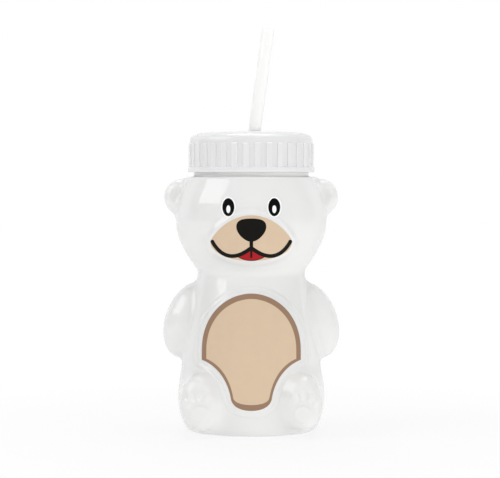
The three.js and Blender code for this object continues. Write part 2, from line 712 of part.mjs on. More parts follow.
// The group that the straw stands in: leaning, with its foot just over the floor.
function strawPlace() {
  const place = new THREE.Group();
  const holeRadius = STRAW_RADIUS + STRAW_HOLE_PLAY;
  const reach = STRAW_RADIUS / Math.cos(STRAW_LEAN) + (LID_PANEL / 2) * Math.tan(STRAW_LEAN);
  const leanX = holeRadius - STRAW_GAP - reach;
  const footZ = WALL + PUSH_UP + STRAW_GAP + STRAW_RADIUS * Math.sin(STRAW_LEAN);
  const footX = leanX - (panelZ + LID_PANEL / 2 - footZ) * Math.tan(STRAW_LEAN);
  place.position.set(footX, 0, footZ);
  place.rotation.y = STRAW_LEAN;
  return place;
}

// Finishes
const white = { color: 0xe9e9e8, roughness: 0.18, metalness: 0 };
const lidWhite = { color: 0xe4e4e5, roughness: 0.35, metalness: 0 };
const strawWhite = { color: 0xf9f9f7, roughness: 0.25, metalness: 0 };
const silicone = { color: 0xdedcd6, roughness: 0.6, metalness: 0 };
const tan = { color: 0xdbc3a8, roughness: 0.45, metalness: 0 };
const brown = { color: 0x997863, roughness: 0.45, metalness: 0 };
const black = { color: 0x1b1a17, roughness: 0.4, metalness: 0 };
const red = { color: 0xa81f26, roughness: 0.4, metalness: 0 };
const printWhite = { color: 0xffffff, roughness: 0.4, metalness: 0 };

function piece(name, solid, finish) {
  const mesh = new THREE.Mesh(geometryOf(solid), new THREE.MeshStandardMaterial(finish));
  mesh.name = name;
  return mesh;
}

const bear = new THREE.Group();
bear.add(piece("bottle_shell", bottleShell(), white));
bear.add(piece("screw_lid", screwLid(), lidWhite));
bear.add(piece("lid_gasket", lidGasket(), silicone));
const strawStand = strawPlace();
strawStand.add(piece("straw", straw(), strawWhite));
bear.add(strawStand);

const print = (film, shape) => film.intersect(frontPrism(shape));
const borderWidths = { top: BORDER_TOP, side: BORDER_SIDE, hip: BORDER_HIP, bottom: BORDER_BOTTOM };
bear.add(piece("belly_border_print", print(bellyFilms[0], bellyShape(evenInset(0))), brown));
bear.add(piece("belly_panel_print", print(bellyFilms[1], bellyShape(borderWidths)), tan));
bear.add(piece("muzzle_print", print(faceFilms[0], muzzleShape(0)), tan));
bear.add(piece("nose_print", print(faceFilms[1], noseShape()), black));
bear.add(piece("mouth_print", faceFilms[1].intersect(mouthPrism(0)), black));
const tongue = print(faceFilms[1], tongueShape()).subtract(mouthPrism(FILM_SIDE_GAP));
bear.add(piece("tongue_print", tongue, red));

for (const [name, side] of [["left", 1], ["right", -1]]) {
  const eyeX = (side * EYE_SPACING) / 2;
  const whiteWidth = EYE_HALF_WIDTH + EYE_WHITE_MARGIN;
  const whiteShape = ovalShape(eyeX, eyeZ, whiteWidth, EYE_HALF_HEIGHT + EYE_WHITE_MARGIN);
  bear.add(piece(`${name}_eye_white_print`, print(faceFilms[0], whiteShape), printWhite));
  bear.add(piece(`${name}_eye_black_print`, print(faceFilms[1], eyeShape(eyeX, eyeZ)), black));
}

export default bear;
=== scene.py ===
import json
import math
from contextlib import contextmanager
from functools import reduce

import bmesh
import bpy
import numpy as np
from bpy.props import FloatProperty, FloatVectorProperty, IntProperty, PointerProperty
from bpy.types import Operator, Panel, PropertyGroup
from mathutils import Matrix, Vector
from mathutils.geometry import interpolate_bezier


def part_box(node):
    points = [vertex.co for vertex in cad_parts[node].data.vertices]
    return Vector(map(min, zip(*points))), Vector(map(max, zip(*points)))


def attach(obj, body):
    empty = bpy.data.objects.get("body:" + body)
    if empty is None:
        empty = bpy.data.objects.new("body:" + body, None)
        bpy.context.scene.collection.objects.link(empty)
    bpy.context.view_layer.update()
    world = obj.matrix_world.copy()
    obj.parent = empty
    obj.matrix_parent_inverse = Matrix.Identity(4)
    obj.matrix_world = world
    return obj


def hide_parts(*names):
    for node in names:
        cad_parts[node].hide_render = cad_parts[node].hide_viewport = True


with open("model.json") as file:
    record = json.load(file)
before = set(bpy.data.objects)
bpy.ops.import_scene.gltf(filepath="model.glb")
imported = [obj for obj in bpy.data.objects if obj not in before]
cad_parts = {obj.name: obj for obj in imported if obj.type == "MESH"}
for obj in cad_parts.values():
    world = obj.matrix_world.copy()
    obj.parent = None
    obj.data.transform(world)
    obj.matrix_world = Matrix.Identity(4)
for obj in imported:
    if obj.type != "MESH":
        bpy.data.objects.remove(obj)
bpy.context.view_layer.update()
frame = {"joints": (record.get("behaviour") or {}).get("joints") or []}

bl_info = {
    "name": "Bear Bottle",
    "version": (1, 0, 0),
    "blender": (4, 5, 0),
    "location": "View3D > Sidebar > Bear Bottle",
    "description": "Builds the looks of a bear-shaped drinking bottle around its solid model",
    "category": "Add Mesh",
}

MM = 0.001
SHELL_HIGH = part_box("bottle_shell")[1]
LID_LOW, LID_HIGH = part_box("screw_lid")
SEAL_LOW, SEAL_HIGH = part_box("lid_gasket")
STRAW_LOW, STRAW_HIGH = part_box("straw")
EYE_LOW, EYE_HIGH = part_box("left_eye_black_print")
NOSE_LOW, NOSE_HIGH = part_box("nose_print")
BELLY_LOW, BELLY_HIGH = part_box("belly_border_print")
STRAW_AXIS = Vector(next(j["axis"] for j in frame["joints"] if j["name"] == "straw_slide"))

# Facets and tolerances
CURVE_STEPS = 24
ROUND_STEPS = 96
STRAW_STEPS = 48
BALL_STEPS = 32
RIDGE_STEPS = 12
FACETS_FOR_A_RIB = 4
EDGE_STEPS = 3
SHARP_ANGLE = math.radians(38)
BEVEL_ANGLE = math.radians(50)
SAME_PLACE = 1e-6
TINY = 1e-9

# How a skin is settled on the bear's surface
NUDGE = 0.02 * MM
LONGEST_MOVE = 2 * MM
LEAST_STEEPNESS = 0.1
SKIN_ROUNDS = 4
HOLLOW_ROUNDS = 5
RELAX_ROUNDS = 2
SMOOTH_ROUNDS = 2
RESETTLE_ROUNDS = 2

# Where a skin is refined: round the belly pad, along the muzzle's lip and on the soles
FRONT_END = -8 * MM
PAD_INSIDE = 1 * MM
PAD_OUTSIDE = 1.5 * MM
LIP_HALF_WIDTH = 2.5 * MM
SOLE_DEPTH = 6 * MM

# Films of ink: their two layers, and where they are cut out of the shell's front
LOWER_LAYER = 1
UPPER_LAYER = 2
FILM_MARGIN = 3 * MM
FILM_BACK = -12 * MM
PRISM_BACK = -10 * MM
PRISM_FRONT = -60 * MM

# How pieces sink into each other before they are joined
NECK_SINK = 1.2 * MM
NECK_EDGE = 0.3 * MM
NECK_EDGE_ANGLE = math.radians(40)
RIB_ROOT = 1.2 * MM

# Half of the width of the mould's parting seam
SEAM_HALF_WIDTH = 0.4 * MM

# Each lamp's place and size in metres, the setting of its power, and whether the bottle mirrors it
LAMPS = {
    "key_light": ((-0.91, -0.33, 0.67), (0.8, 0.62), "key_power", True),
    "fill_light": ((1.05, -0.65, 0.22), (0.9, 0.4), "fill_power", False),
    "front_light": ((0.0, -1.5, 0.16), (1.4, 0.3), "front_power", False),
    "back_light": ((0.0, 1.5, 0.5), (1.4, 0.9), "back_power", False),
    "top_light": ((0.05, 0.12, 1.2), (0.9, 0.7), "top_power", True),
}
LAMP_AIM = (0, 0, 0.1)

# How far behind the bottle the white wall that it mirrors begins and is full, as a direction along Y
WALL_START = 0.25
WALL_FULL = 0.4

WHITE = (1.0, 1.0, 1.0, 1.0)


# Settings


def length(mm, name, description):
    """A length setting whose default is given in millimetres."""
    return FloatProperty(name=name, description=description, default=mm * MM, precision=5, unit="LENGTH")


def share(value, name, description):
    """A plain number between 0 and 2."""
    return FloatProperty(name=name, description=description, default=value, min=0, max=2, subtype="FACTOR")


def angle(degrees, name, description):
    """An angle setting whose default is given in degrees."""
    return FloatProperty(name=name, description=description, default=math.radians(degrees), subtype="ANGLE")


def power(watts, name, description):
    """The power of a lamp in watts."""
    return FloatProperty(name=name, description=description, default=watts, min=0, unit="POWER")


def count(number, least, name, description):
    """A whole number that is no smaller than a least one."""
    return IntProperty(name=name, description=description, default=number, min=least)


def colour(red, green, blue, name, description):
    """A colour setting whose default is given as display values from 0 to 255."""
    shown = np.array([red, green, blue]) / 255
    linear = np.where(shown > 0.04045, ((shown + 0.055) / 1.055) ** 2.4, shown / 12.92)
    return FloatVectorProperty(
        name=name, description=description, default=linear.tolist(), min=0, max=1, subtype="COLOR"
    )


class ShellSizes(PropertyGroup):
    """The bear's body and head, half widths measured across X."""

    wall: length(1.4, "Wall", "Thickness of the moulded wall")
    base_ring_radius: length(32.5, "Base ring radius", "Outer radius of the ring the bottle stands on")
    base_round: length(1.6, "Base round", "Softness of the lower edge of the bottle and its feet")
    base_ring_width: length(6, "Base ring width", "Width of the standing ring")
    push_up: length(1.5, "Push-up", "How far the middle of the base is raised")
    torso_half_width: length(39.2, "Torso half width", "Half of the torso's greatest width")
    torso_widest: length(26, "Torso widest height", "Height at which the torso is widest")
    crease_height: length(88.4, "Crease height", "Height of the crease under the head")
    crease_half_width: length(29.3, "Crease half width", "Half of the width at the crease")
    crease_fillet: length(2.4, "Crease fillet", "Softness of the crease under the head")
    head_half_width: length(41.9, "Head half width", "Half of the head's greatest width")
    head_widest_rise: length(28.1, "Head widest rise", "Height above the crease where the head is widest")
    head_top_half_width: length(36.2, "Head top half width", "Half width where the head meets its shoulder")
    head_side_rise: length(50.2, "Head side rise", "Height of the head's sides above the crease")
    shoulder_rise: length(2.3, "Shoulder rise", "Height of the shoulder's rounded edge")
    shoulder_round: length(1.8, "Shoulder round", "Width of the shoulder's rounded edge")
    torso_depth: share(0.9, "Torso depth", "Depth of the torso as a share of its width")
    head_depth: share(0.96, "Head depth", "Depth of the head as a share of its width")
    facet: length(1.0, "Facet", "Size of the faces of the outside")
    hollow_facet: length(3.0, "Hollow facet", "Size of the faces of the inside")


class LimbSizes(PropertyGroup):
    """Arms, ears and feet that swell out of the shell."""

    arm_half_length: length(22, "Arm half length", "Half of an arm's length")
    arm_half_width: length(14, "Arm half width", "Half of an arm's width")
    arm_half_depth: length(12, "Arm half depth", "Half of an arm's depth")
    arm_x: length(33.8, "Arm place", "Distance of an arm's middle from the axis")
    arm_z: length(61.2, "Arm height", "Height of an arm's middle")
    arm_tilt: angle(20.8, "Arm tilt", "How far an arm leans in at its top")
    arm_fillet: length(2.8, "Arm fillet", "Softness of the corner round an arm")
    ear_half_width: length(9.5, "Ear half width", "Half of an ear's width")
    ear_half_height: length(10, "Ear half height", "Half of an ear's height")
    ear_half_depth: length(5.6, "Ear half depth", "Half of an ear's depth")
    ear_x: length(38.8, "Ear place", "Distance of an ear's middle from the axis")
    ear_z: length(129.5, "Ear height", "Height of an ear's middle")
    ear_fillet: length(3.5, "Ear fillet", "Softness of the corner round an ear")
    ear_dish_depth: length(2.0, "Ear dish depth", "Depth of the hollow in the front of an ear")
    ear_dish_radius: length(11, "Ear dish radius", "Radius of the ball that hollows an ear")
    foot_half_width: length(11, "Foot half width", "Half of a foot's width")
    foot_half_height: length(15.6, "Foot half height", "Half of a foot's height")
    foot_half_length: length(17, "Foot half length", "Half of a foot's length")
    foot_front: length(-39.68, "Foot front", "Place of a sole along Y")
    foot_x: length(27.6, "Foot place", "Distance of a foot's middle from the axis")
    foot_z: length(18.8, "Foot height", "Height of a foot's middle")
    foot_round: length(6.5, "Foot round", "Radius of the edge of a sole")
    foot_dome: length(2.0, "Foot dome", "How far the edge of a sole falls back")
    foot_fillet: length(9, "Foot fillet", "Softness of the corner round a foot")
    heel_pad_radius: length(5.0, "Heel pad radius", "Radius of the pad on a heel")
    heel_pad_drop: length(5.2, "Heel pad drop", "Height of the heel pad under the foot's middle")
    toe_count: count(4, 1, "Toes", "Number of toe pads on a sole")
    toe_half_width: length(1.8, "Toe half width", "Half of a toe pad's width")
    toe_half_height: length(2.5, "Toe half height", "Half of a toe pad's height")
    toe_arc_radius: length(9.9, "Toe arc radius", "Distance of the toes from the heel pad")
    toe_spread: angle(80, "Toe spread", "Angle from the first toe to the last")
    toe_splay: angle(14, "Toe splay", "How far the row of toes turns outwards")
    pad_rise: length(0.5, "Pad rise", "How far the pads stand proud of the sole")
    pad_edge: length(1.4, "Pad edge", "Width of the sloping edge of a pad")


class FaceSizes(PropertyGroup):
    """The raised muzzle and the printed face."""

    snout_half_width: length(24, "Snout half width", "Half width of the ball under the nose")
    snout_half_height: length(16, "Snout half height", "Half height of the ball under the nose")
    snout_half_depth: length(14, "Snout half depth", "Half depth of the ball under the nose")
    muzzle_rise: length(1.2, "Muzzle rise", "How far the muzzle stands proud of the face")
    muzzle_margin: length(2.2, "Muzzle margin", "Raised border round the printed muzzle patch")
    muzzle_edge: length(2.2, "Muzzle edge", "Width of the sloping edge of the muzzle")
    mouth_height: length(102.9, "Mouth height", "Height of the middle of the smile")
    patch_half_width: length(21.4, "Patch half width", "Half width of the muzzle patch at its tips")
    patch_tip_rise: length(4.5, "Patch tip rise", "Height of the patch's tips above the mouth")
    patch_above_nose: length(1.7, "Patch above nose", "Strip of the patch that shows above the nose")
    patch_drop: length(7.1, "Patch drop", "How far the patch reaches below the mouth")
    nose_widest_drop: length(4.5, "Nose widest drop", "Where the nose is widest, below its top")
    philtrum_width: length(1.9, "Philtrum width", "Width of the line from the nose to the mouth")
    smile_width: length(2.1, "Smile width", "Width of the line of the smile")
    smile_half_width: length(20.9, "Smile half width", "Distance of a corner of the mouth from the middle")
    smile_low_x: length(10.5, "Smile low place", "Where half of the smile is lowest")
    smile_depth: length(4.5, "Smile depth", "How far the smile dips")
    smile_end_rise: length(3.1, "Smile end rise", "Height of the corners above the middle")
    tongue_half_width: length(8.4, "Tongue half width", "Half of the tongue's width")
    tongue_drop: length(6.9, "Tongue drop", "How far the tongue reaches below the mouth")
    tongue_rim: length(0.4, "Tongue rim", "Width of the line along the tongue's lower edge")
    tongue_line: length(1.15, "Tongue line", "Width of the line down the tongue")
    tongue_line_margin: length(2, "Tongue line margin", "Tongue left under that line")
    eye_white_margin: length(0.7, "Eye white margin", "Width of the white round an eye")
    glint_half_width: length(1.1, "Glint half width", "Half of the width of the glint in an eye")
    glint_half_height: length(2.1, "Glint half height", "Half of the height of the glint in an eye")
    glint_drop: length(1.1, "Glint drop", "Height of the glint under the eye's middle")


class BellySizes(PropertyGroup):
    """The raised belly pad and its printed panel."""

    crown_drop: length(0.65, "Crown drop", "How far the print's top lies below its solid's")
    tail_lift: length(0.4, "Tail lift", "How far the print's tail lies above its solid's")
    dome_height: length(31.7, "Dome height", "Height of the rounded top of the belly")
    side_height: length(5.1, "Side height", "Height of its straight sides")
    tail_height: length(7.4, "Tail height", "Height of its rounded tail")
    crotch_half_width: length(11.1, "Crotch half width", "Half width between the thighs")
    border_top: length(2.9, "Border at the top", "Width of the printed border at the top")
    border_side: length(2.5, "Border at the sides", "Width of the printed border at the sides")
    border_hip: length(1.35, "Border at the hips", "Width of the printed border at the thighs")
    border_bottom: length(3.2, "Border at the bottom", "Width of the printed border at the tail")
    low_step_margin: length(3.7, "Low step margin", "Distance of the pad's outer step from the print")
    low_step_rise: length(0.7, "Low step rise", "Height of the pad's outer step")
    high_step_margin: length(1.5, "High step margin", "Distance of the pad's inner step from the print")
    high_step_rise: length(0.6, "High step rise", "Height of the pad's inner step")
    step_edge: length(1.3, "Step edge", "Width of the slope of a step")


class LidSizes(PropertyGroup):
    """The neck, the ribbed lid and the seal between them."""

    neck_radius: length(30.3, "Neck radius", "Outer radius of the neck")
    neck_wall: length(1.8, "Neck wall", "Thickness of the neck")
    collar_rise: length(1.5, "Collar rise", "How far the collar stands out from the neck")
    collar_fillet: length(1.4, "Collar fillet", "Radius of the corner between collar and shoulder")
    collar_height: length(2.9, "Collar height", "Height of the collar above the shoulder")
    thread_radius: length(1.2, "Thread radius", "Radius of the neck's round thread")
    lid_thread_radius: length(1.12, "Lid thread radius", "Radius of the lid's round thread")
    thread_pitch: length(4.2, "Thread pitch", "Climb of the thread in one turn")
    thread_turns: share(1.25, "Thread turns", "Turns of the thread")
    thread_below_rim: length(3.4, "Thread below rim", "Distance of the thread's top from the rim")
    inner_radius: length(31.95, "Lid inner radius", "Inner radius of the lid's skirt")
    outer_radius: length(34.15, "Lid outer radius", "Outer radius of the lid between its ribs")
    panel: length(2.3, "Lid panel", "Thickness of the lid's top")
    dome_height: length(5.3, "Lid dome height", "Height of the lid's rounded shoulder")
    dome_width: length(9, "Lid dome width", "Width of the lid's rounded shoulder")
    band_height: length(2.6, "Band height", "Height of the plain band under the ribs")
    band_slope: length(0.6, "Band slope", "Height of the sloping top edge of the band")
    rib_count: count(34, 3, "Ribs", "Number of grip ribs")
    rib_width: length(3.5, "Rib width", "Width of a grip rib")
    rib_rise: length(1.0, "Rib rise", "How far a rib stands out")
    rib_set_back: length(0.45, "Rib set-back", "How far the band stands out beyond the ribs")
    rib_chamfer: length(0.9, "Rib chamfer", "Size of the slanted top end of a rib")
    rib_round: length(0.35, "Rib round", "Radius of a rib's edges")
    rib_drop: length(0.45, "Rib drop", "How far the ribs end below the lid's rounded shoulder")
    rib_phase: angle(0.5, "Rib phase", "Turn of the ring of ribs")
    edge_round: length(0.45, "Lid edge round", "Radius of the lid's other edges")
    hole_radius: length(5.6, "Straw hole radius", "Radius of the hole for the straw")
    seal_width: length(3.8, "Seal width", "Width of the seal across its ring")
    seal_round: length(0.4, "Seal round", "Radius of the seal's edges")


class StrawSizes(PropertyGroup):
    """The drinking straw."""

    radius: length(3.5, "Straw radius", "Outer radius of the straw")
    wall: length(0.7, "Straw wall", "Thickness of the straw")
    lip_round: length(0.25, "Lip round", "Radius of the edges at its ends")
    ring_rise: length(2.8, "Stop ring rise", "How far the stop ring stands out")
    ring_width: length(2, "Stop ring width", "Width of the stop ring")
    ring_place: length(28, "Stop ring place", "Distance of the stop ring from the straw's foot")


class PrintSizes(PropertyGroup):
    """The films of ink."""

    film: length(0.1, "Film", "Thickness of one film of ink, half of it sunk in the shell")


class Colours(PropertyGroup):
    """Colours of the plastics and inks."""

    shell: colour(238, 238, 237, "Shell", "White of the bottle")
    lid: colour(231, 231, 232, "Lid", "White of the lid")
    straw: colour(254, 254, 252, "Straw", "White of the straw")
    seal: colour(222, 220, 214, "Seal", "Pale silicone of the seal")
    tan: colour(215, 192, 165, "Tan ink", "Ink of the belly panel and the muzzle")
    brown: colour(154, 125, 103, "Brown ink", "Ink of the belly border")
    black: colour(20, 19, 16, "Black ink", "Ink of the nose and the mouth")
    eye_black: colour(9, 9, 10, "Eye ink", "Ink of the eyes")
    red: colour(170, 31, 38, "Red ink", "Ink of the tongue")
    white: colour(252, 252, 252, "White ink", "Ink under the eyes")
    floor: colour(240, 240, 240, "Floor", "Pale studio floor")


class StageSettings(PropertyGroup):
    """Camera and studio light."""

    camera_distance: length(1000, "Camera distance", "Distance of the camera from the bottle's axis")
    camera_height: length(141.8, "Camera height", "Height of the camera over the floor")
    camera_side: length(-0.7, "Camera side", "Place of the camera along X")
    aim_height: length(106.2, "Aim height", "Height that the middle of the picture shows")
    picture_width: length(278, "Picture width", "Width that the picture shows at the bottle's axis")
    floor_half_size: length(6000, "Floor half size", "Half of the width of the floor")
    ambient: share(0.3, "Ambient", "Strength of the light from all round")
    room: share(0.2, "Room", "How bright the room in front is where the bottle mirrors it")
    key_power: power(4.0, "Key power", "Light on the left")
    fill_power: power(4.4, "Fill power", "Light on the right")
    front_power: power(5.8, "Front power", "Light from the front")
    back_power: power(6.0, "Back power", "Light from behind")
    top_power: power(6.6, "Top power", "Light from above")
    floor_glow: share(0.8, "Floor glow", "Share of the floor's white that shadows don't reach")
    table_light: share(0.42, "Table light", "Light that the floor gives off by itself")
    shadow_reach: length(60, "Shadow reach", "Distance from the axis where the shadow starts to fade")
    shadow_fade: length(260, "Shadow fade", "Distance from the axis where the floor is all white")


GROUPS = {
    "shell": ShellSizes,
    "limbs": LimbSizes,
    "face": FaceSizes,
    "belly": BellySizes,
    "lid": LidSizes,
    "straw": StrawSizes,
    "print": PrintSizes,
    "colours": Colours,
    "stage": StageSettings,
}


class BearBottleSettings(PropertyGroup):
    """All settings of the bottle, kept on the scene."""

    __annotations__ = {
        name: PointerProperty(type=group, name=name.capitalize(), description=group.__doc__)
        for name, group in GROUPS.items()
    }


# Outlines, in which a curve's handles lie at shares of what the curve spans


def trace(start, *stretches):
    """Points along a chain of stretches: a stretch is its end alone, or two handles and its end."""
    points = [Vector(start)]
    for stretch in stretches:
        if len(stretch) == 1:
            points.append(Vector(stretch[0]))
        else:
            first, second, end = (Vector(place) for place in stretch)
            points += interpolate_bezier(points[-1], first, second, end, CURVE_STEPS + 1)[1:]
    return points


def mirrored(right_half):
    """A closed outline from its right half, listed from its top to its bottom."""
    left_half = [Vector((-at.x, at.y)) for at in reversed(right_half) if at.x > TINY]
    return right_half + left_half


def oval(x, z, half_width, half_height):
    """A closed oval outline."""
    turns = np.linspace(0, 2 * math.pi, 4 * CURVE_STEPS, endpoint=False)
    return [Vector((x + half_width * math.cos(t), z + half_height * math.sin(t))) for t in turns]


def stroke(path, width):
    """The outline of a line of even width with round ends along a path."""
    half = width / 2
    along = [b - a for a, b in zip([path[0], *path], [*path[1:], path[-1]])]
    along[0] = path[1] - path[0]
    out = [Vector((-step.y, step.x)).normalized() * half for step in along]
    left_side = [at + side for at, side in zip(path, out)]
    right_side = [at - side for at, side in zip(path, out)][::-1]

    def round_end(at, side):
        turns = np.linspace(0, math.pi, CURVE_STEPS)[1:-1]
        return [at + Matrix.Rotation(-turn, 2) @ side for turn in turns]

    return left_side + round_end(path[-1], out[-1]) + right_side + round_end(path[0], -out[0])


def belly_outline(belly, top=0.0, side=0.0, hip=0.0, bottom=0.0):
    """The belly: a dome over straight sides that curve in round the thighs to a rounded tail."""
    half_width = BELLY_HIGH.x - side
    crown = BELLY_HIGH.z - belly.crown_drop - top
    side_z = BELLY_HIGH.z - belly.dome_height
    corner_z = side_z - belly.side_height + hip / 2
    crotch_x = belly.crotch_half_width - hip
    crotch_z = BELLY_LOW.z + belly.tail_height
    tail = BELLY_LOW.z + belly.tail_lift + bottom
    dome = crown - side_z
    hip_x = half_width - crotch_x
    hip_z = corner_z - crotch_z
    drop = crotch_z - tail
    return mirrored(
        trace(
            (0, crown),
            ((0.46 * half_width, crown), (half_width, side_z + 0.66 * dome), (half_width, side_z)),
            ((half_width, corner_z),),
            (
                (half_width - 0.54 * hip_x, corner_z - 0.13 * hip_z),
                (crotch_x + 0.11 * hip_x, crotch_z + 0.48 * hip_z),
                (crotch_x, crotch_z),
            ),
            ((0.96 * crotch_x, crotch_z - 0.62 * drop), (0.6 * crotch_x, tail), (0, tail)),
        )
    )


def muzzle_outline(face, margin=0.0):
    """The muzzle patch: a wide almond with its tips at the corners of the smile."""
    top = NOSE_HIGH.z + face.patch_above_nose + margin
    tip_x = face.patch_half_width + margin
    tip_z = face.mouth_height + face.patch_tip_rise
    bottom = face.mouth_height - face.patch_drop - margin
    rise = top - tip_z
    fall = tip_z - bottom
    return mirrored(
        trace(
            (0, top),
            ((0.4 * tip_x, top), (0.78 * tip_x, tip_z + 0.59 * rise), (tip_x, tip_z)),
            ((1.12 * tip_x, tip_z - 0.47 * fall), (0.72 * tip_x, bottom), (0, bottom)),
        )
    )


def nose_outline(face):
    """The nose: a rounded triangle, widest near its flat top."""
    top, bottom, half_width = NOSE_HIGH.z, NOSE_LOW.z, NOSE_HIGH.x
    widest = top - face.nose_widest_drop
    fall = widest - bottom
    brow = top - 0.22 * face.nose_widest_drop
    return mirrored(
        trace(
            (0, top),
            ((0.65 * half_width, top), (half_width, brow), (half_width, widest)),
            ((half_width, widest - 0.42 * fall), (0.46 * half_width, bottom), (0, bottom)),
        )
    )


def mouth_outlines(face):
    """The lines of the mouth: two halves of the smile, the philtrum and the tongue's two lines."""
    middle = face.mouth_height
    low = middle - face.smile_depth
    lines = []
    for side in (1, -1):
        low_x = side * face.smile_low_x
        end = Vector((side * face.smile_half_width, middle + face.smile_end_rise))
        run = end.x - low_x
        rise = end.y - low
        half = trace(
            (0, middle),
            ((0.31 * low_x, middle - 0.53 * face.smile_depth), (0.62 * low_x, low), (low_x, low)),
            ((low_x + 0.41 * run, low), (low_x + 0.78 * run, low + 0.43 * rise), end),
        )
        lines.append(stroke(half, face.smile_width))
    tongue_line_end = middle - face.tongue_drop + face.tongue_line_margin
    lines.append(stroke([Vector((0, NOSE_LOW.z)), Vector((0, middle))], face.philtrum_width))
    lines.append(stroke([Vector((0, middle)), Vector((0, tongue_line_end))], face.tongue_line))
    lines.append(stroke(tongue_edge(face), face.tongue_rim))
    return lines


def tongue_edge(face):
    """The lower edge of the tongue, from its left corner to its right one."""
    half_width = face.tongue_half_width
    corner = face.mouth_height - 0.9 * face.smile_depth
    bottom = face.mouth_height - face.tongue_drop
    near_bottom = bottom + 0.3 * (corner - bottom)
    half = trace(
        (half_width, corner),
        ((0.67 * half_width, near_bottom), (0.33 * half_width, bottom), (0, bottom)),
    )
    return half + [Vector((-at.x, at.y)) for at in half[-2::-1]]


def tongue_outline(face):
    """The tongue, before the lines of the mouth are cut out of it."""
    return [Vector((0, face.mouth_height)), *tongue_edge(face)]


# Distances: each is negative inside the form that it measures


def smooth_rise(low, high, value):
    """0 at low, 1 at high and a smooth rise between them, where low may be the greater."""
    part = np.clip((value - low) / (high - low), 0.0, 1.0)
    return part * part * (3.0 - 2.0 * part)


def filleted(first, second, fillet):
    """The union of two forms, with a fillet in the corner between them."""
    near = np.maximum(fillet - np.abs(first - second), 0.0) / fillet
    return np.minimum(first, second) - near * near * fillet * 0.25


def outline_distance(outline, across, up):
    """Distance from points to a closed flat outline."""
    nearest = np.full(across.shape, np.inf)
    inside = np.zeros(across.shape, bool)
    for start, end in zip(outline, outline[1:] + outline[:1]):
        run, rise = end - start
        from_x, from_z = across - start.x, up - start.y
        along = np.clip((from_x * run + from_z * rise) / (run * run + rise * rise), 0.0, 1.0)
        nearest = np.minimum(nearest, np.hypot(from_x - along * run, from_z - along * rise))
        if abs(rise) > 0:
            inside ^= ((start.y > up) != (end.y > up)) & (from_x < from_z * run / rise)
    return np.where(inside, -nearest, nearest)


def oval_distance(x, z, half_width, half_height):
    """Distance to an oval in the plane, near enough close to its edge."""
    reach = np.hypot(x / half_width, z / half_height)
    slope = np.hypot(x / half_width**2, z / half_height**2)
    return reach * (reach - 1.0) / np.maximum(slope, TINY)


def ball_distance(points, centre, half_sizes, lean=0.0):
    """Distance to a ball stretched to half sizes that leans about Y."""
    x, y, z = (points - np.array(centre)).T
    cosine, sine = math.cos(lean), math.sin(lean)
    local = np.stack([cosine * x - sine * z, y, sine * x + cosine * z], axis=1)
    reach = np.linalg.norm(local / half_sizes, axis=1)
    slope = np.linalg.norm(local / np.square(half_sizes), axis=1)
    return reach * (reach - 1.0) / np.maximum(slope, TINY)


class Profile:
    """The radius of a turned form at each height, from an outline of radius and height."""

    def __init__(self, outline, tail):
        points = np.array([at.to_tuple() for at in outline] + [tail])
        order = np.argsort(points[:, 1])
        self.radii, self.heights = points[order].T
        self.slopes = np.gradient(self.radii, self.heights + TINY * np.arange(len(order)))

    def distance(self, across, up):
        radius = np.interp(up, self.heights, self.radii)
        slope = np.interp(up, self.heights, self.slopes)
        return (across - radius) / np.sqrt(1.0 + slope * slope)


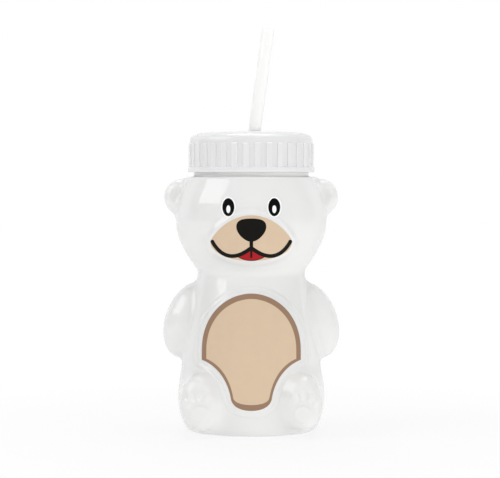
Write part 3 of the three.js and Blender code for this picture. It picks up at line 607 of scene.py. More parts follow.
class BearForm:
    """The bear's outer surface: a turned body and head, flattened, with limbs blended on."""

    # How far the body and the head run on inside each other
    OVERLAP = 18 * MM
    # How far round the prints the belly pad and the muzzle are worked out
    BELLY_MARGIN = 8 * MM
    MUZZLE_HALF_WIDTH = 32 * MM
    MUZZLE_HALF_HEIGHT = 30 * MM
    # Height over which the muzzle's edge softens towards the chin, and by what share
    CHIN_HEIGHT = 9 * MM
    CHIN_SOFTNESS = 1.6
    # Share of the muzzle's edge that lies inside its outline
    INNER_EDGE = 0.4
    SNOUT_FILLET = 3 * MM
    # How far out and up from an ear's middle its dish lies
    DISH_SHIFT = 1 * MM
    DISH_FILLET = 1.2 * MM
    # Where the dome of a sole ends, and the height of a heel pad, as shares
    DOME_END = 1.2
    HEEL_PAD_HEIGHT = 0.9
    # How far behind the front of a sole its pads begin to fade and are gone
    PADS_FADE = 5 * MM
    PADS_END = 8 * MM
    # Softness of the lower edge between the feet, and half of the width where it is so
    MIDDLE_ROUND = 0.2 * MM
    MIDDLE_HALF_WIDTH = 12 * MM

    def __init__(self, settings):
        self.shell = settings.shell
        self.limbs = settings.limbs
        self.face = settings.face
        self.belly = settings.belly
        shell = self.shell
        self.head_widest = shell.crease_height + shell.head_widest_rise
        self.head_side_top = shell.crease_height + shell.head_side_rise
        self.shoulder = self.head_side_top + shell.shoulder_rise
        self.torso_line = self.torso_outline()
        self.head_line = self.head_outline()
        self.torso = self.profile(self.torso_line, -1, 1)
        self.head = self.profile(self.head_line, 0, -1)
        self.belly_line = belly_outline(self.belly)
        self.muzzle_line = muzzle_outline(self.face, self.face.muzzle_margin)

    def torso_outline(self):
        """From the standing ring up to the crease."""
        shell = self.shell
        swell = shell.torso_half_width - shell.base_ring_radius
        rise = shell.crease_height - shell.torso_widest
        narrowing = shell.torso_half_width - shell.crease_half_width
        widest = (shell.torso_half_width, shell.torso_widest)
        return trace(
            (shell.base_ring_radius, 0),
            (
                (shell.base_ring_radius + 0.67 * swell, 0),
                (shell.torso_half_width, 0.3 * shell.torso_widest),
                widest,
            ),
            (
                (shell.torso_half_width, shell.torso_widest + 0.35 * rise),
                (shell.crease_half_width + 0.52 * narrowing, shell.torso_widest + 0.64 * rise),
                (shell.crease_half_width, shell.crease_height),
            ),
        )

    def head_outline(self):
        """From the crease up to the flat shoulder round the neck."""
        shell = self.shell
        swell = shell.head_half_width - shell.crease_half_width
        rise = shell.head_widest_rise
        top_rise = self.head_side_top - self.head_widest
        taper = shell.head_half_width - shell.head_top_half_width
        edge_radius = shell.head_top_half_width - shell.shoulder_round
        top = (shell.head_top_half_width, self.head_side_top)
        return trace(
            (shell.crease_half_width, shell.crease_height),
            (
                (shell.crease_half_width + 0.41 * swell, shell.crease_height + 0.25 * rise),
                (shell.head_half_width, shell.crease_height + 0.59 * rise),
                (shell.head_half_width, self.head_widest),
            ),
            (
                (shell.head_half_width, self.head_widest + 0.34 * top_rise),
                (shell.head_top_half_width + 0.58 * taper, self.head_side_top - 0.3 * top_rise),
                top,
            ),
            (top, (edge_radius + 0.8 * shell.shoulder_round, self.shoulder), (edge_radius, self.shoulder)),
        )

    def profile(self, outline, end, direction):
        """The outline as a profile that runs on straight past the crease, inside its neighbour."""
        last, before = outline[end], outline[end - direction]
        slope = (last.x - before.x) / (last.y - before.y)
        reach = 2 * direction * self.OVERLAP
        return Profile(outline, (last.x + slope * reach, last.y + reach))

    def depth_ratio(self, up):
        """How deep the bear is at a height, as a share of its width there."""
        shell = self.shell
        to_head = smooth_rise(shell.crease_height, self.head_widest, up)
        to_neck = smooth_rise(self.head_widest, self.head_side_top, up)
        head = shell.torso_depth + (shell.head_depth - shell.torso_depth) * to_head
        return head + (1.0 - head) * to_neck

    def limb_balls(self, side):
        """The balls that the limbs of one side start from: centre, half sizes and lean about Y."""
        limbs = self.limbs
        foot_y = limbs.foot_front + limbs.foot_half_length
        return {
            "arm": (
                (side * limbs.arm_x, 0, limbs.arm_z),
                (limbs.arm_half_width, limbs.arm_half_depth, limbs.arm_half_length),
                -side * limbs.arm_tilt,
            ),
            "ear": (
                (side * limbs.ear_x, 0, limbs.ear_z),
                (limbs.ear_half_width, limbs.ear_half_depth, limbs.ear_half_height),
                0.0,
            ),
            "foot": (
                (side * limbs.foot_x, foot_y, limbs.foot_z),
                (limbs.foot_half_width, limbs.foot_half_length, limbs.foot_half_height),
                0.0,
            ),
        }

    def belly_pad(self, x, y, z):
        """How far the two steps of the belly pad lift the torso."""
        belly = self.belly
        rise = np.zeros(x.shape)
        half_width = BELLY_HIGH.x + self.BELLY_MARGIN
        front = (y < 0) & (z < BELLY_HIGH.z + self.BELLY_MARGIN) & (np.abs(x) < half_width)
        away = outline_distance(self.belly_line, x[front], z[front])
        half = belly.step_edge / 2
        low = smooth_rise(belly.low_step_margin + half, belly.low_step_margin - half, away)
        high = smooth_rise(belly.high_step_margin + half, belly.high_step_margin - half, away)
        rise[front] = belly.low_step_rise * low + belly.high_step_rise * high
        return rise

    def muzzle(self, points, head):
        """The head with its muzzle raised inside the outline of the patch."""
        face = self.face
        x, y, z = points.T
        raised = head.copy()
        level = np.abs(z - face.mouth_height) < self.MUZZLE_HALF_HEIGHT
        front = (y < 0) & level & (np.abs(x) < self.MUZZLE_HALF_WIDTH)
        away = outline_distance(self.muzzle_line, x[front], z[front])
        chin = smooth_rise(NOSE_LOW.z, NOSE_LOW.z - self.CHIN_HEIGHT, z[front])
        edge = face.muzzle_edge * (1.0 + self.CHIN_SOFTNESS * chin)
        inside = smooth_rise(edge, -self.INNER_EDGE * edge, away)
        depth = self.shell.head_half_width * self.shell.head_depth
        half_sizes = (face.snout_half_width, face.snout_half_depth, face.snout_half_height)
        centre = (0, face.snout_half_depth - depth - face.muzzle_rise, NOSE_LOW.z)
        snout = ball_distance(points[front], centre, half_sizes)
        boss = filleted(head[front] - face.muzzle_rise, snout, self.SNOUT_FILLET)
        raised[front] = head[front] + (boss - head[front]) * inside
        return raised

    def ear(self, points, side):
        """An ear with a shallow dish in its front."""
        limbs = self.limbs
        ball = self.limb_balls(side)["ear"]
        dish_x = side * limbs.ear_x + side * self.DISH_SHIFT
        dish_y = -limbs.ear_half_depth - limbs.ear_dish_radius + limbs.ear_dish_depth
        dish_centre = np.array((dish_x, dish_y, limbs.ear_z + self.DISH_SHIFT))
        dish = limbs.ear_dish_radius - np.linalg.norm(points - dish_centre, axis=1)
        return -filleted(-ball_distance(points, *ball), -dish, self.DISH_FILLET)

    def foot(self, points, side):
        """A stubby foot with a domed, round-edged sole."""
        limbs = self.limbs
        x, y, z = (points - np.array((side * limbs.foot_x, 0, limbs.foot_z))).T
        radial = oval_distance(x, z, limbs.foot_half_width, limbs.foot_half_height)
        reach = np.hypot(x / limbs.foot_half_width, z / limbs.foot_half_height)
        dome = limbs.foot_dome * np.minimum(reach, self.DOME_END) ** 2
        middle = limbs.foot_front + limbs.foot_half_length + dome
        out = radial + limbs.foot_round
        ahead = np.abs(y - middle) - limbs.foot_half_length + limbs.foot_round
        corner = np.hypot(np.maximum(out, 0), np.maximum(ahead, 0))
        return corner + np.minimum(np.maximum(out, ahead), 0) - limbs.foot_round

    def paw_pads(self, points, side):
        """How far the heel pad and the toes lift a sole."""
        limbs = self.limbs
        x, y, z = points.T
        heel_z = limbs.foot_z - limbs.heel_pad_drop
        across, up = x - side * limbs.foot_x, z - heel_z
        radius = limbs.heel_pad_radius
        away = oval_distance(across, up, radius, self.HEEL_PAD_HEIGHT * radius)
        for toe in range(limbs.toe_count):
            place = toe / max(limbs.toe_count - 1, 1) - 0.5
            turn = side * limbs.toe_splay + limbs.toe_spread * place
            cosine, sine = math.cos(turn), math.sin(turn)
            toe_x = across - limbs.toe_arc_radius * sine
            toe_z = up - limbs.toe_arc_radius * cosine
            turned_x, turned_z = cosine * toe_x - sine * toe_z, sine * toe_x + cosine * toe_z
            pad = oval_distance(turned_x, turned_z, limbs.toe_half_width, limbs.toe_half_height)
            away = np.minimum(away, pad)
        on_sole = smooth_rise(limbs.foot_front + self.PADS_END, limbs.foot_front + self.PADS_FADE, y)
        return limbs.pad_rise * smooth_rise(limbs.pad_edge / 2, -limbs.pad_edge / 2, away) * on_sole

    def distance(self, points):
        """Distance from points to the outer surface."""
        shell, limbs = self.shell, self.limbs
        x, y, z = points.T
        across = np.hypot(x, y / self.depth_ratio(z))
        ring_inner = shell.base_ring_radius - shell.base_ring_width
        base = shell.push_up * smooth_rise(ring_inner, ring_inner - 2 * shell.push_up, across) - z
        torso = np.maximum(self.torso.distance(across, z), z - shell.crease_height - self.OVERLAP)
        torso = torso - self.belly_pad(x, y, z)
        head = np.maximum(self.head.distance(across, z), z - self.shoulder)
        head = np.maximum(head, shell.crease_height - self.OVERLAP - z)
        head = self.muzzle(points, head)
        whole = filleted(torso, head, shell.crease_fillet)
        for side in (1, -1):
            arm = ball_distance(points, *self.limb_balls(side)["arm"])
            whole = filleted(whole, arm, limbs.arm_fillet)
            whole = filleted(whole, self.ear(points, side), limbs.ear_fillet)
            whole = filleted(whole, self.foot(points, side), limbs.foot_fillet)
            whole = whole - self.paw_pads(points, side)
        outwards = smooth_rise(self.MIDDLE_HALF_WIDTH, limbs.foot_x, np.abs(x))
        standing = -filleted(-whole, -base, self.MIDDLE_ROUND + shell.base_round * outwards)
        return np.maximum(standing, z - self.shoulder)

    def settle(self, points, level, rounds):
        """Moves points square to the surface until they lie at a level under or over it."""
        steps = NUDGE * np.eye(3)
        for _ in range(rounds):
            here = self.distance(points)
            slope = np.stack([self.distance(points + step) - here for step in steps], axis=1) / NUDGE
            steepness = np.maximum((slope * slope).sum(axis=1), LEAST_STEEPNESS)
            move = np.clip((here - level) / steepness, -LONGEST_MOVE, LONGEST_MOVE)
            points = points - move[:, None] * slope
        return points


# Mesh tools


def as_object(bm, name):
    """A bmesh as an object of the scene."""
    mesh = bpy.data.meshes.new(name)
    bm.to_mesh(mesh)
    bm.free()
    made = bpy.data.objects.new(name, mesh)
    bpy.context.scene.collection.objects.link(made)
    return made


@contextmanager
def opened(mesh):
    """A mesh as a bmesh that is written back when the work on it is done."""
    bm = bmesh.new()
    bm.from_mesh(mesh)
    yield bm
    bm.to_mesh(mesh)
    bm.free()


def with_modifiers_applied(made):
    """Gives an object the mesh that its modifiers make of it."""
    graph = bpy.context.evaluated_depsgraph_get()
    mesh = bpy.data.meshes.new_from_object(made.evaluated_get(graph))
    made.modifiers.clear()
    made.data = mesh
    return made


def combined(base, *steps):
    """Joins or cuts a closed object by others, which are then removed."""
    for operation, other in steps:
        step = base.modifiers.new(operation, "BOOLEAN")
        step.operation = operation
        step.solver = "MANIFOLD"
        step.object = other
    with_modifiers_applied(base)
    for _, other in steps:
        bpy.data.objects.remove(other)
    if not base.data.polygons:
        raise RuntimeError(f"{base.name} has no faces left")
    return base


def coordinates(mesh):
    """The places of a mesh's vertices as an array."""
    places = np.empty(len(mesh.vertices) * 3)
    mesh.vertices.foreach_get("co", places)
    return places.reshape(-1, 3)


def settle_mesh(mesh, form, level, rounds):
    """Settles a mesh's vertices on a level of the bear's surface."""
    places = form.settle(coordinates(mesh), level, rounds)
    mesh.vertices.foreach_set("co", places.ravel())
    mesh.update()


def turned(outline, steps, closed=False):
    """A bmesh of an outline of radius and height turned about Z, closed on itself or on the axis."""
    bm = bmesh.new()
    verts = [bm.verts.new((at[0], 0, at[1])) for at in outline]
    pairs = list(zip(verts, verts[1:]))
    if closed:
        pairs.append((verts[-1], verts[0]))
    edges = [bm.edges.new(pair) for pair in pairs]
    bmesh.ops.spin(
        bm, geom=verts + edges, axis=(0, 0, 1), angle=2 * math.pi, steps=steps, use_merge=True
    )
    bmesh.ops.remove_doubles(bm, verts=bm.verts, dist=SAME_PLACE)
    bmesh.ops.recalc_face_normals(bm, faces=bm.faces)
    return bm


def bevel(bm, edges, size, segments):
    """Bevels some edges of a bmesh."""
    bmesh.ops.bevel(
        bm,
        geom=edges,
        offset=size,
        offset_type="OFFSET",
        affect="EDGES",
        segments=segments,
        profile=0.5,
        material=-1,
        clamp_overlap=True,
    )


def round_edges(bm, radius, segments=EDGE_STEPS, limit=BEVEL_ANGLE):
    """Rounds the edges of a bmesh that are sharper than a limit."""
    bevel(bm, [edge for edge in bm.edges if edge.calc_face_angle(0) > limit], radius, segments)


def extruded(bm, faces, kind):
    """Extrudes faces and gives back what is new of one kind."""
    new = bmesh.ops.extrude_face_region(bm, geom=faces)["geom"]
    return [item for item in new if isinstance(item, kind)]


def screw_ridge(radius, bottom, ridge_radius, pitch, turns):
    """A round ridge along a screw line that starts at the front, as an object."""
    bm = bmesh.new()
    steps = round(ROUND_STEPS * turns)
    place = Matrix.Translation((0, -radius, bottom)) @ Matrix.Rotation(math.pi / 2, 4, "Y")
    bmesh.ops.create_circle(bm, cap_ends=True, segments=RIDGE_STEPS, radius=ridge_radius, matrix=place)
    turn = Matrix.Rotation(2 * math.pi * turns / steps, 4, "Z")
    climb = Matrix.Translation((0, 0, pitch * turns / steps))
    cap = list(bm.faces)
    for step in range(steps):
        next_cap = extruded(bm, cap, bmesh.types.BMFace)
        if step:
            bmesh.ops.delete(bm, geom=cap, context="FACES_ONLY")
        cap = next_cap
        verts = [vert for face in cap for vert in face.verts]
        bmesh.ops.transform(bm, matrix=climb @ turn, verts=verts)
    bmesh.ops.recalc_face_normals(bm, faces=bm.faces)
    return as_object(bm, "ridge")


def front_prism(outline):
    """An outline in X and Z pushed through the front of the bear, as an object."""
    bm = bmesh.new()
    face = bm.faces.new([bm.verts.new((at.x, PRISM_BACK, at.y)) for at in outline])
    verts = extruded(bm, [face], bmesh.types.BMVert)
    bmesh.ops.translate(bm, vec=(0, PRISM_FRONT - PRISM_BACK, 0), verts=verts)
    bmesh.ops.recalc_face_normals(bm, faces=bm.faces)
    return as_object(bm, "prism")


def finish_piece(made, name, body, nodes, material):
    """Names and shades a piece, gives it its material and ties it to the frame."""
    made.name = name
    made.data.name = name
    with opened(made.data) as bm:
        for face in bm.faces:
            face.smooth = True
        for edge in bm.edges:
            edge.smooth = edge.calc_face_angle(0) < SHARP_ANGLE
    made.data.materials.clear()
    made.data.materials.append(material)
    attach(made, body)
    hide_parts(*nodes)


def keep_faces_flat(made):
    """Shades the broad faces of a turned piece flat, and only its rounded edges round."""
    made.modifiers.new("flat_faces", "WEIGHTED_NORMAL").keep_sharp = True


# Materials


class Value:
    """A socket of a node tree; arithmetic on it adds Math nodes."""

    def __init__(self, nodes, socket):
        self.nodes = nodes
        self.socket = socket

    def maths(self, operation, first, second=0.0):
        return self.nodes.add("ShaderNodeMath", {"operation": operation}, {0: first, 1: second})

    def __add__(self, other):
        return self.maths("ADD", self, other)

    def __sub__(self, other):
        return self.maths("SUBTRACT", self, other)

    def __rsub__(self, other):
        return self.maths("SUBTRACT", other, self)

    def __mul__(self, other):
        return self.maths("MULTIPLY", self, other)

    def __abs__(self):
        return self.maths("ABSOLUTE", self)

    def most(self, other):
        return self.maths("MAXIMUM", self, other)

    __radd__ = __add__
    __rmul__ = __mul__


class Nodes:
    """A node tree under construction, with one method that adds any node."""

    def __init__(self, tree):
        self.tree = tree
        tree.nodes.clear()

    def add(self, kind, settings, values, output=0):
        made = self.tree.nodes.new(kind)
        for name, setting in settings.items():
            setattr(made, name, setting)
        for key, value in values.items():
            if isinstance(value, Value):
                self.tree.links.new(value.socket, made.inputs[key])
            else:
                made.inputs[key].default_value = value
        return Value(self, made.outputs[output]) if made.outputs else None

    def place(self, space="Object"):
        """Where a point lies."""
        return self.add("ShaderNodeTexCoord", {}, {}, space)

    def along_y(self, space="Object"):
        """Where a point lies along Y."""
        return self.add("ShaderNodeSeparateXYZ", {}, {0: self.place(space)}, "Y")

    def noise(self, scale, detail):
        """Cloudy noise from 0 to 1."""
        values = {"Vector": self.place(), "Scale": scale, "Detail": detail}
        return self.add("ShaderNodeTexNoise", {}, values)

    def ramp(self, value, start, end, low, high):
        """A smooth change from low to high while a value goes from start to end."""
        values = {"Value": value, "From Min": start, "From Max": end, "To Min": low, "To Max": high}
        return self.add("ShaderNodeMapRange", {"interpolation_type": "SMOOTHSTEP"}, values)

    def mottled(self, factor, base, darker, lighter):
        """A base colour that wanders between a darker and a lighter shade of it."""
        low = [part * (1.0 - darker) for part in base]
        high = [min(part * (1.0 + lighter), 1.0) for part in base]
        values = {"Factor": factor, 6: (*low, 1.0), 7: (*high, 1.0)}
        return self.add("ShaderNodeMix", {"data_type": "RGBA"}, values, 2)

    def rays(self, *kinds):
        """1 for rays of some kinds and 0 for all others."""
        found = [self.add("ShaderNodeLightPath", {}, {}, f"Is {kind} Ray") for kind in kinds]
        return reduce(Value.most, found)

    def surface(self, values, height, strength, depth):
        """Ends a material with a shader whose normal is bumped by a height."""
        bump = {"Strength": strength, "Distance": depth, "Height": height}
        normal = self.add("ShaderNodeBump", {}, bump)
        shader = self.add("ShaderNodeBsdfPrincipled", {}, {**values, "Normal": normal})
        self.add("ShaderNodeOutputMaterial", {}, {"Surface": shader})


def new_material(name):
    """A material and its empty node tree."""
    material = bpy.data.materials.new(name)
    material.use_nodes = True
    return material, Nodes(material.node_tree)


def moulded_plastic(name, base, roughness, grain, milkiness, seam=0.0):
    """White plastic with faint flow clouds, a skin of fine grain and, on a moulding, its parting seam."""
    material, nodes = new_material(name)
    clouds = nodes.noise(scale=28.0, detail=3.0)
    smears = nodes.noise(scale=75.0, detail=4.0)
    skin = nodes.noise(scale=1100.0, detail=2.0)
    height = skin * grain
    if seam:
        height = height + nodes.ramp(abs(nodes.along_y()), 0.0, SEAM_HALF_WIDTH, 1.0, 0.0) * seam
    values = {
        "Base Color": nodes.mottled(clouds, base, darker=0.02, lighter=0.02),
        "Roughness": smears * 0.04 + (roughness - 0.02),
        "Subsurface Weight": milkiness,
        "Subsurface Radius": (1.0, 1.0, 1.0),
        "Subsurface Scale": 4 * MM,
        "IOR": 1.5,
    }
    nodes.surface(values, height, strength=0.35, depth=0.1 * MM)
    return material


def silicone(name, base):
    """Soft matte rubber with a powdery bloom."""
    material, nodes = new_material(name)
    bloom = nodes.noise(scale=160.0, detail=4.0)
    grain = nodes.noise(scale=2600.0, detail=2.0)
    values = {
        "Base Color": nodes.mottled(bloom, base, darker=0.05, lighter=0.04),
        "Roughness": bloom * 0.15 + 0.52,
    }
    nodes.surface(values, grain, strength=0.2, depth=0.1 * MM)
    return material


def ink(name, base):
    """A satin film of printed ink with a faint mottle and the screen's grain."""
    material, nodes = new_material(name)
    mottle = nodes.noise(scale=190.0, detail=5.0)
    screen = nodes.noise(scale=3200.0, detail=1.0)
    values = {
        "Base Color": nodes.mottled(mottle, base, darker=0.035, lighter=0.035),
        "Roughness": mottle * 0.1 + 0.36,
        "Specular IOR Level": 0.1,
    }
    nodes.surface(values, screen, strength=0.12, depth=0.05 * MM)
    return material


# Pieces


def rough_bear(form, facet):
    """A turned body with balls for limbs, remeshed into one skin of even facets."""
    outline = [(0, 0), *form.torso_line, *form.head_line[1:], (0, form.shoulder)]
    bm = turned(outline, ROUND_STEPS)
    places = np.array([vert.co for vert in bm.verts])
    for vert, ratio in zip(bm.verts, form.depth_ratio(places[:, 2])):
        vert.co.y *= ratio
    for side in (1, -1):
        for centre, half_sizes, lean in form.limb_balls(side).values():
            place = Matrix.Translation(centre) @ Matrix.Rotation(lean, 4, "Y")
            bmesh.ops.create_uvsphere(
                bm,
                u_segments=BALL_STEPS,
                v_segments=BALL_STEPS // 2,
                radius=1,
                matrix=place @ Matrix.Diagonal((*half_sizes, 1)),
            )
    bmesh.ops.recalc_face_normals(bm, faces=bm.faces)
    made = as_object(bm, "rough_bear")
    remesh = made.modifiers.new("skin", "REMESH")
    remesh.mode = "VOXEL"
    remesh.voxel_size = facet
    return with_modifiers_applied(made)


def relax(made, form, level):
    """Evens out the facets of a skin and settles it on the bear's surface again."""
    for _ in range(RELAX_ROUNDS):
        with opened(made.data) as bm:
            for _ in range(SMOOTH_ROUNDS):
                bmesh.ops.smooth_vert(
                    bm, verts=bm.verts, factor=0.5, use_axis_x=True, use_axis_y=True, use_axis_z=True
                )
        settle_mesh(made.data, form, level, RESETTLE_ROUNDS)


def settled_bear(form, facet, level, rounds):
    """A skin of even facets at a level under the bear's surface."""
    made = rough_bear(form, facet)
    settle_mesh(made.data, form, level, rounds)
    relax(made, form, level)
    return made


def refine(made, form):
    """Halves the facets along the edges of the belly pad, the muzzle and the paw pads."""
    limbs = form.limbs
    with opened(made.data) as bm:
        bm.faces.ensure_lookup_table()
        x, y, z = np.array([face.calc_center_median() for face in bm.faces]).T
        near = np.zeros(len(x), bool)
        front = np.flatnonzero(y < FRONT_END)
        belly = outline_distance(form.belly_line, x[front], z[front])
        muzzle = outline_distance(form.muzzle_line, x[front], z[front])
        on_torso = z[front] < form.shell.crease_height
        pad = on_torso & (belly > -PAD_INSIDE) & (belly < form.belly.low_step_margin + PAD_OUTSIDE)
        lip = ~on_torso & (np.abs(muzzle) < LIP_HALF_WIDTH)
        near[front] = pad | lip
        from_foot = np.abs(np.abs(x) - limbs.foot_x)
        sole = (y < limbs.foot_front + SOLE_DEPTH) & (from_foot < limbs.foot_half_width)
        near |= sole & (z < limbs.foot_z + limbs.foot_half_height)
        faces = [bm.faces[i] for i in np.flatnonzero(near)]
        edges = list({edge for face in faces for edge in face.edges})
        bmesh.ops.subdivide_edges(bm, edges=edges, cuts=1, use_grid_fill=True)


def neck_solid(lid, shoulder):
    """The neck with its collar, from inside the shoulder up to the rim, as an object."""
    collar = lid.neck_radius + lid.collar_rise
    foot_radius = collar + lid.collar_fillet
    foot = shoulder - NECK_SINK
    round_corner = trace(
        (foot_radius, shoulder),
        (
            (collar + 0.45 * lid.collar_fillet, shoulder),
            (collar, shoulder + 0.45 * lid.collar_fillet),
            (collar, shoulder + lid.collar_fillet),
        ),
    )
    outline = [
        (0, foot),
        (foot_radius, foot),
        *round_corner,
        (collar, shoulder + lid.collar_height),
        (lid.neck_radius, shoulder + lid.collar_height + lid.collar_rise),
        (lid.neck_radius, SHELL_HIGH.z),
        (0, SHELL_HIGH.z),
    ]
    bm = turned(outline, ROUND_STEPS)
    round_edges(bm, NECK_EDGE, segments=2, limit=NECK_EDGE_ANGLE)
    return as_object(bm, "neck")


def neck_bore(lid, foot, top):
    """What is cut out of the neck to open it, as an object."""
    radius = lid.neck_radius - lid.neck_wall
    return as_object(turned([(0, foot), (radius, foot), (radius, top), (0, top)], ROUND_STEPS), "bore")


def bear_shell(settings):
    """The moulded shell: a smooth bear with a threaded neck, hollow down to its base."""
    shell, lid = settings.shell, settings.lid
    form = BearForm(settings)
    skin = settled_bear(form, shell.facet, 0.0, SKIN_ROUNDS)
    refine(skin, form)
    relax(skin, form, 0.0)
    hollow = settled_bear(form, shell.hollow_facet, -shell.wall, HOLLOW_ROUNDS)
    bottom = SHELL_HIGH.z - lid.thread_below_rim - lid.thread_turns * lid.thread_pitch
    thread = screw_ridge(lid.neck_radius, bottom, lid.thread_radius, lid.thread_pitch, lid.thread_turns)
    bore = neck_bore(lid, form.shoulder - 3 * shell.wall, SHELL_HIGH.z + shell.wall)
    return combined(
        skin,
        ("UNION", neck_solid(lid, form.shoulder)),
        ("UNION", thread),
        ("DIFFERENCE", hollow),
        ("DIFFERENCE", bore),
    )


def lid_cup(lid, band_radius, dome_foot):
    """The lid without its ribs and thread: a turned cup with a domed top and the straw hole."""
    bottom, top = LID_LOW.z, LID_HIGH.z
    panel = top - lid.panel
    band_top = bottom + lid.band_height
    dome = trace(
        (lid.outer_radius, dome_foot),
        (
            (lid.outer_radius, dome_foot + 0.68 * lid.dome_height),
            (lid.outer_radius - 0.3 * lid.dome_width, top - 0.08 * lid.dome_height),
            (lid.outer_radius - lid.dome_width, top),
        ),
    )
    outline = [
        (lid.hole_radius, panel),
        (lid.inner_radius, panel),
        (lid.inner_radius, bottom),
        (band_radius, bottom),
        (band_radius, band_top),
        (lid.outer_radius, band_top + lid.band_slope),
        *dome,
        (lid.hole_radius, top),
    ]
    bm = turned(outline, FACETS_FOR_A_RIB * lid.rib_count, closed=True)
    round_edges(bm, lid.edge_round)
    return as_object(bm, "cup")


def grip_ribs(lid, band_radius, dome_foot):
    """The ring of upright ribs with slanted tops that start inside the band, as an object."""
    foot = LID_LOW.z + 0.5 * lid.band_height
    depth = lid.rib_rise + RIB_ROOT
    height = dome_foot - lid.rib_drop - foot
    out = band_radius - lid.rib_set_back - depth / 2
    size = Matrix.Diagonal((lid.rib_width, depth, height, 1))
    place = Matrix.Translation((0, -out, foot + height / 2))
    bm = bmesh.new()
    bmesh.ops.create_cube(bm, size=1, matrix=place @ size)
    top_edge = max(bm.edges, key=lambda edge: sum(vert.co.z - vert.co.y for vert in edge.verts))
    bevel(bm, [top_edge], lid.rib_chamfer, segments=1)
    round_edges(bm, lid.rib_round)
    pitch = 2 * math.pi / lid.rib_count
    bmesh.ops.rotate(bm, verts=bm.verts, matrix=Matrix.Rotation(lid.rib_phase + pitch / 2, 3, "Z"))
    bmesh.ops.spin(
        bm,
        geom=bm.verts[:] + bm.edges[:] + bm.faces[:],
        axis=(0, 0, 1),
        angle=2 * math.pi - pitch,
        steps=lid.rib_count - 1,
        use_duplicate=True,
    )
    bmesh.ops.recalc_face_normals(bm, faces=bm.faces)
    return as_object(bm, "ribs")


def ribbed_lid(lid):
    """The lid: its cup with grip ribs outside and a thread inside, half a turn off the neck's."""
    band_radius = lid.outer_radius + lid.rib_rise
    dome_foot = LID_HIGH.z - lid.dome_height
    cup = lid_cup(lid, band_radius, dome_foot)
    ribs = grip_ribs(lid, band_radius, dome_foot)
    thread_foot = SHELL_HIGH.z - lid.thread_below_rim - (lid.thread_turns + 0.5) * lid.thread_pitch
    thread = screw_ridge(
        lid.inner_radius, thread_foot, lid.lid_thread_radius, lid.thread_pitch, lid.thread_turns
    )
    return combined(cup, ("UNION", ribs), ("UNION", thread))


def seal_ring(lid):
    """The soft ring between the rim and the lid."""
    outer = SEAL_HIGH.x
    inner = outer - lid.seal_width
    corners = [(inner, SEAL_LOW.z), (outer, SEAL_LOW.z), (outer, SEAL_HIGH.z), (inner, SEAL_HIGH.z)]
    bm = turned(corners, ROUND_STEPS, closed=True)
    round_edges(bm, lid.seal_round)
    return as_object(bm, "seal")


def leaning_straw(straw):
    """The straw: a tube with soft lips and a stop ring, leaning along the joint that it slides on."""
    foot_x = STRAW_LOW.x + straw.radius * STRAW_AXIS.z
    foot_z = STRAW_LOW.z + straw.radius * STRAW_AXIS.x
    height = (STRAW_HIGH.z - straw.radius * STRAW_AXIS.x - foot_z) / STRAW_AXIS.z
    bore = straw.radius - straw.wall
    stop = straw.radius + straw.ring_rise
    ring_top = straw.ring_place + straw.ring_width
    outline = [
        (bore, 0),
        (straw.radius, 0),
        (straw.radius, straw.ring_place),
        (stop, straw.ring_place),
        (stop, ring_top),
        (straw.radius, ring_top),
        (straw.radius, height),
        (bore, height),
    ]
    bm = turned(outline, STRAW_STEPS, closed=True)
    round_edges(bm, straw.lip_round)
    lean = math.atan2(STRAW_AXIS.x, STRAW_AXIS.z)
    place = Matrix.Translation((foot_x, 0, foot_z)) @ Matrix.Rotation(lean, 4, "Y")
    bmesh.ops.transform(bm, matrix=place, verts=bm.verts)
    return as_object(bm, "straw")


def ink_film(outlines, layer, thickness, cut):
    """A film of ink on the front of the shell inside some outlines, as thick as its layer is high."""
    bm = bmesh.new()
    bm.from_mesh(bpy.data.objects["bear_shell"].data)
    points = np.array([(at.x, at.y) for outline in outlines for at in outline])
    low, high = points.min(axis=0) - FILM_MARGIN, points.max(axis=0) + FILM_MARGIN
    spare = []
    for face in bm.faces:
        at = face.calc_center_median()
        in_reach = low[0] < at.x < high[0] and low[1] < at.z < high[1]
        if at.y > FILM_BACK or face.normal.y > 0 or not in_reach:
            spare.append(face)
    bmesh.ops.delete(bm, geom=spare, context="FACES")
    film = as_object(bm, "film")
    solidify = film.modifiers.new("film", "SOLIDIFY")
    solidify.thickness = thickness * layer
    solidify.offset = 0
    with_modifiers_applied(film)
    cutter = front_prism(outlines[0])
    if outlines[1:]:
        combined(cutter, *[("UNION", front_prism(outline)) for outline in outlines[1:]])
    if cut:
        combined(cutter, *[("DIFFERENCE", front_prism(outline)) for outline in cut])
    return combined(film, ("INTERSECT", cutter))


def print_on_shell(name, node, finish, film, layer, outlines, cut=()):
    """A finished print of one ink on the bottle, in the lower or the upper layer of films."""
    finish_piece(ink_film(outlines, layer, film, cut), name, "bottle", [node], finish)


# Stage


def studio_floor(stage, base):
    """A pale floor that shows white away from the bottle and keeps the bottle's shadow."""
    bm = bmesh.new()
    bmesh.ops.create_grid(bm, x_segments=1, y_segments=1, size=stage.floor_half_size)
    floor = as_object(bm, "studio_floor")
    material, nodes = new_material("studio_floor")
    speckle = nodes.noise(scale=900.0, detail=2.0)
    paint = nodes.mottled(speckle, base, darker=0.01, lighter=0.01)
    matte = nodes.add("ShaderNodeBsdfDiffuse", {}, {"Color": paint})
    white = nodes.add("ShaderNodeEmission", {}, {"Color": WHITE, "Strength": 1.0})
    away = nodes.add("ShaderNodeVectorMath", {"operation": "LENGTH"}, {0: nodes.place()}, "Value")
    fade = nodes.ramp(away, stage.shadow_reach, stage.shadow_fade, stage.floor_glow, 1.0)
    glow = (nodes.rays("Camera", "Glossy", "Transmission") * fade).most(stage.table_light)
    mix = nodes.add("ShaderNodeMixShader", {}, {0: glow, 1: matte, 2: white})
    nodes.add("ShaderNodeOutputMaterial", {}, {"Surface": mix})
    floor.data.materials.append(material)


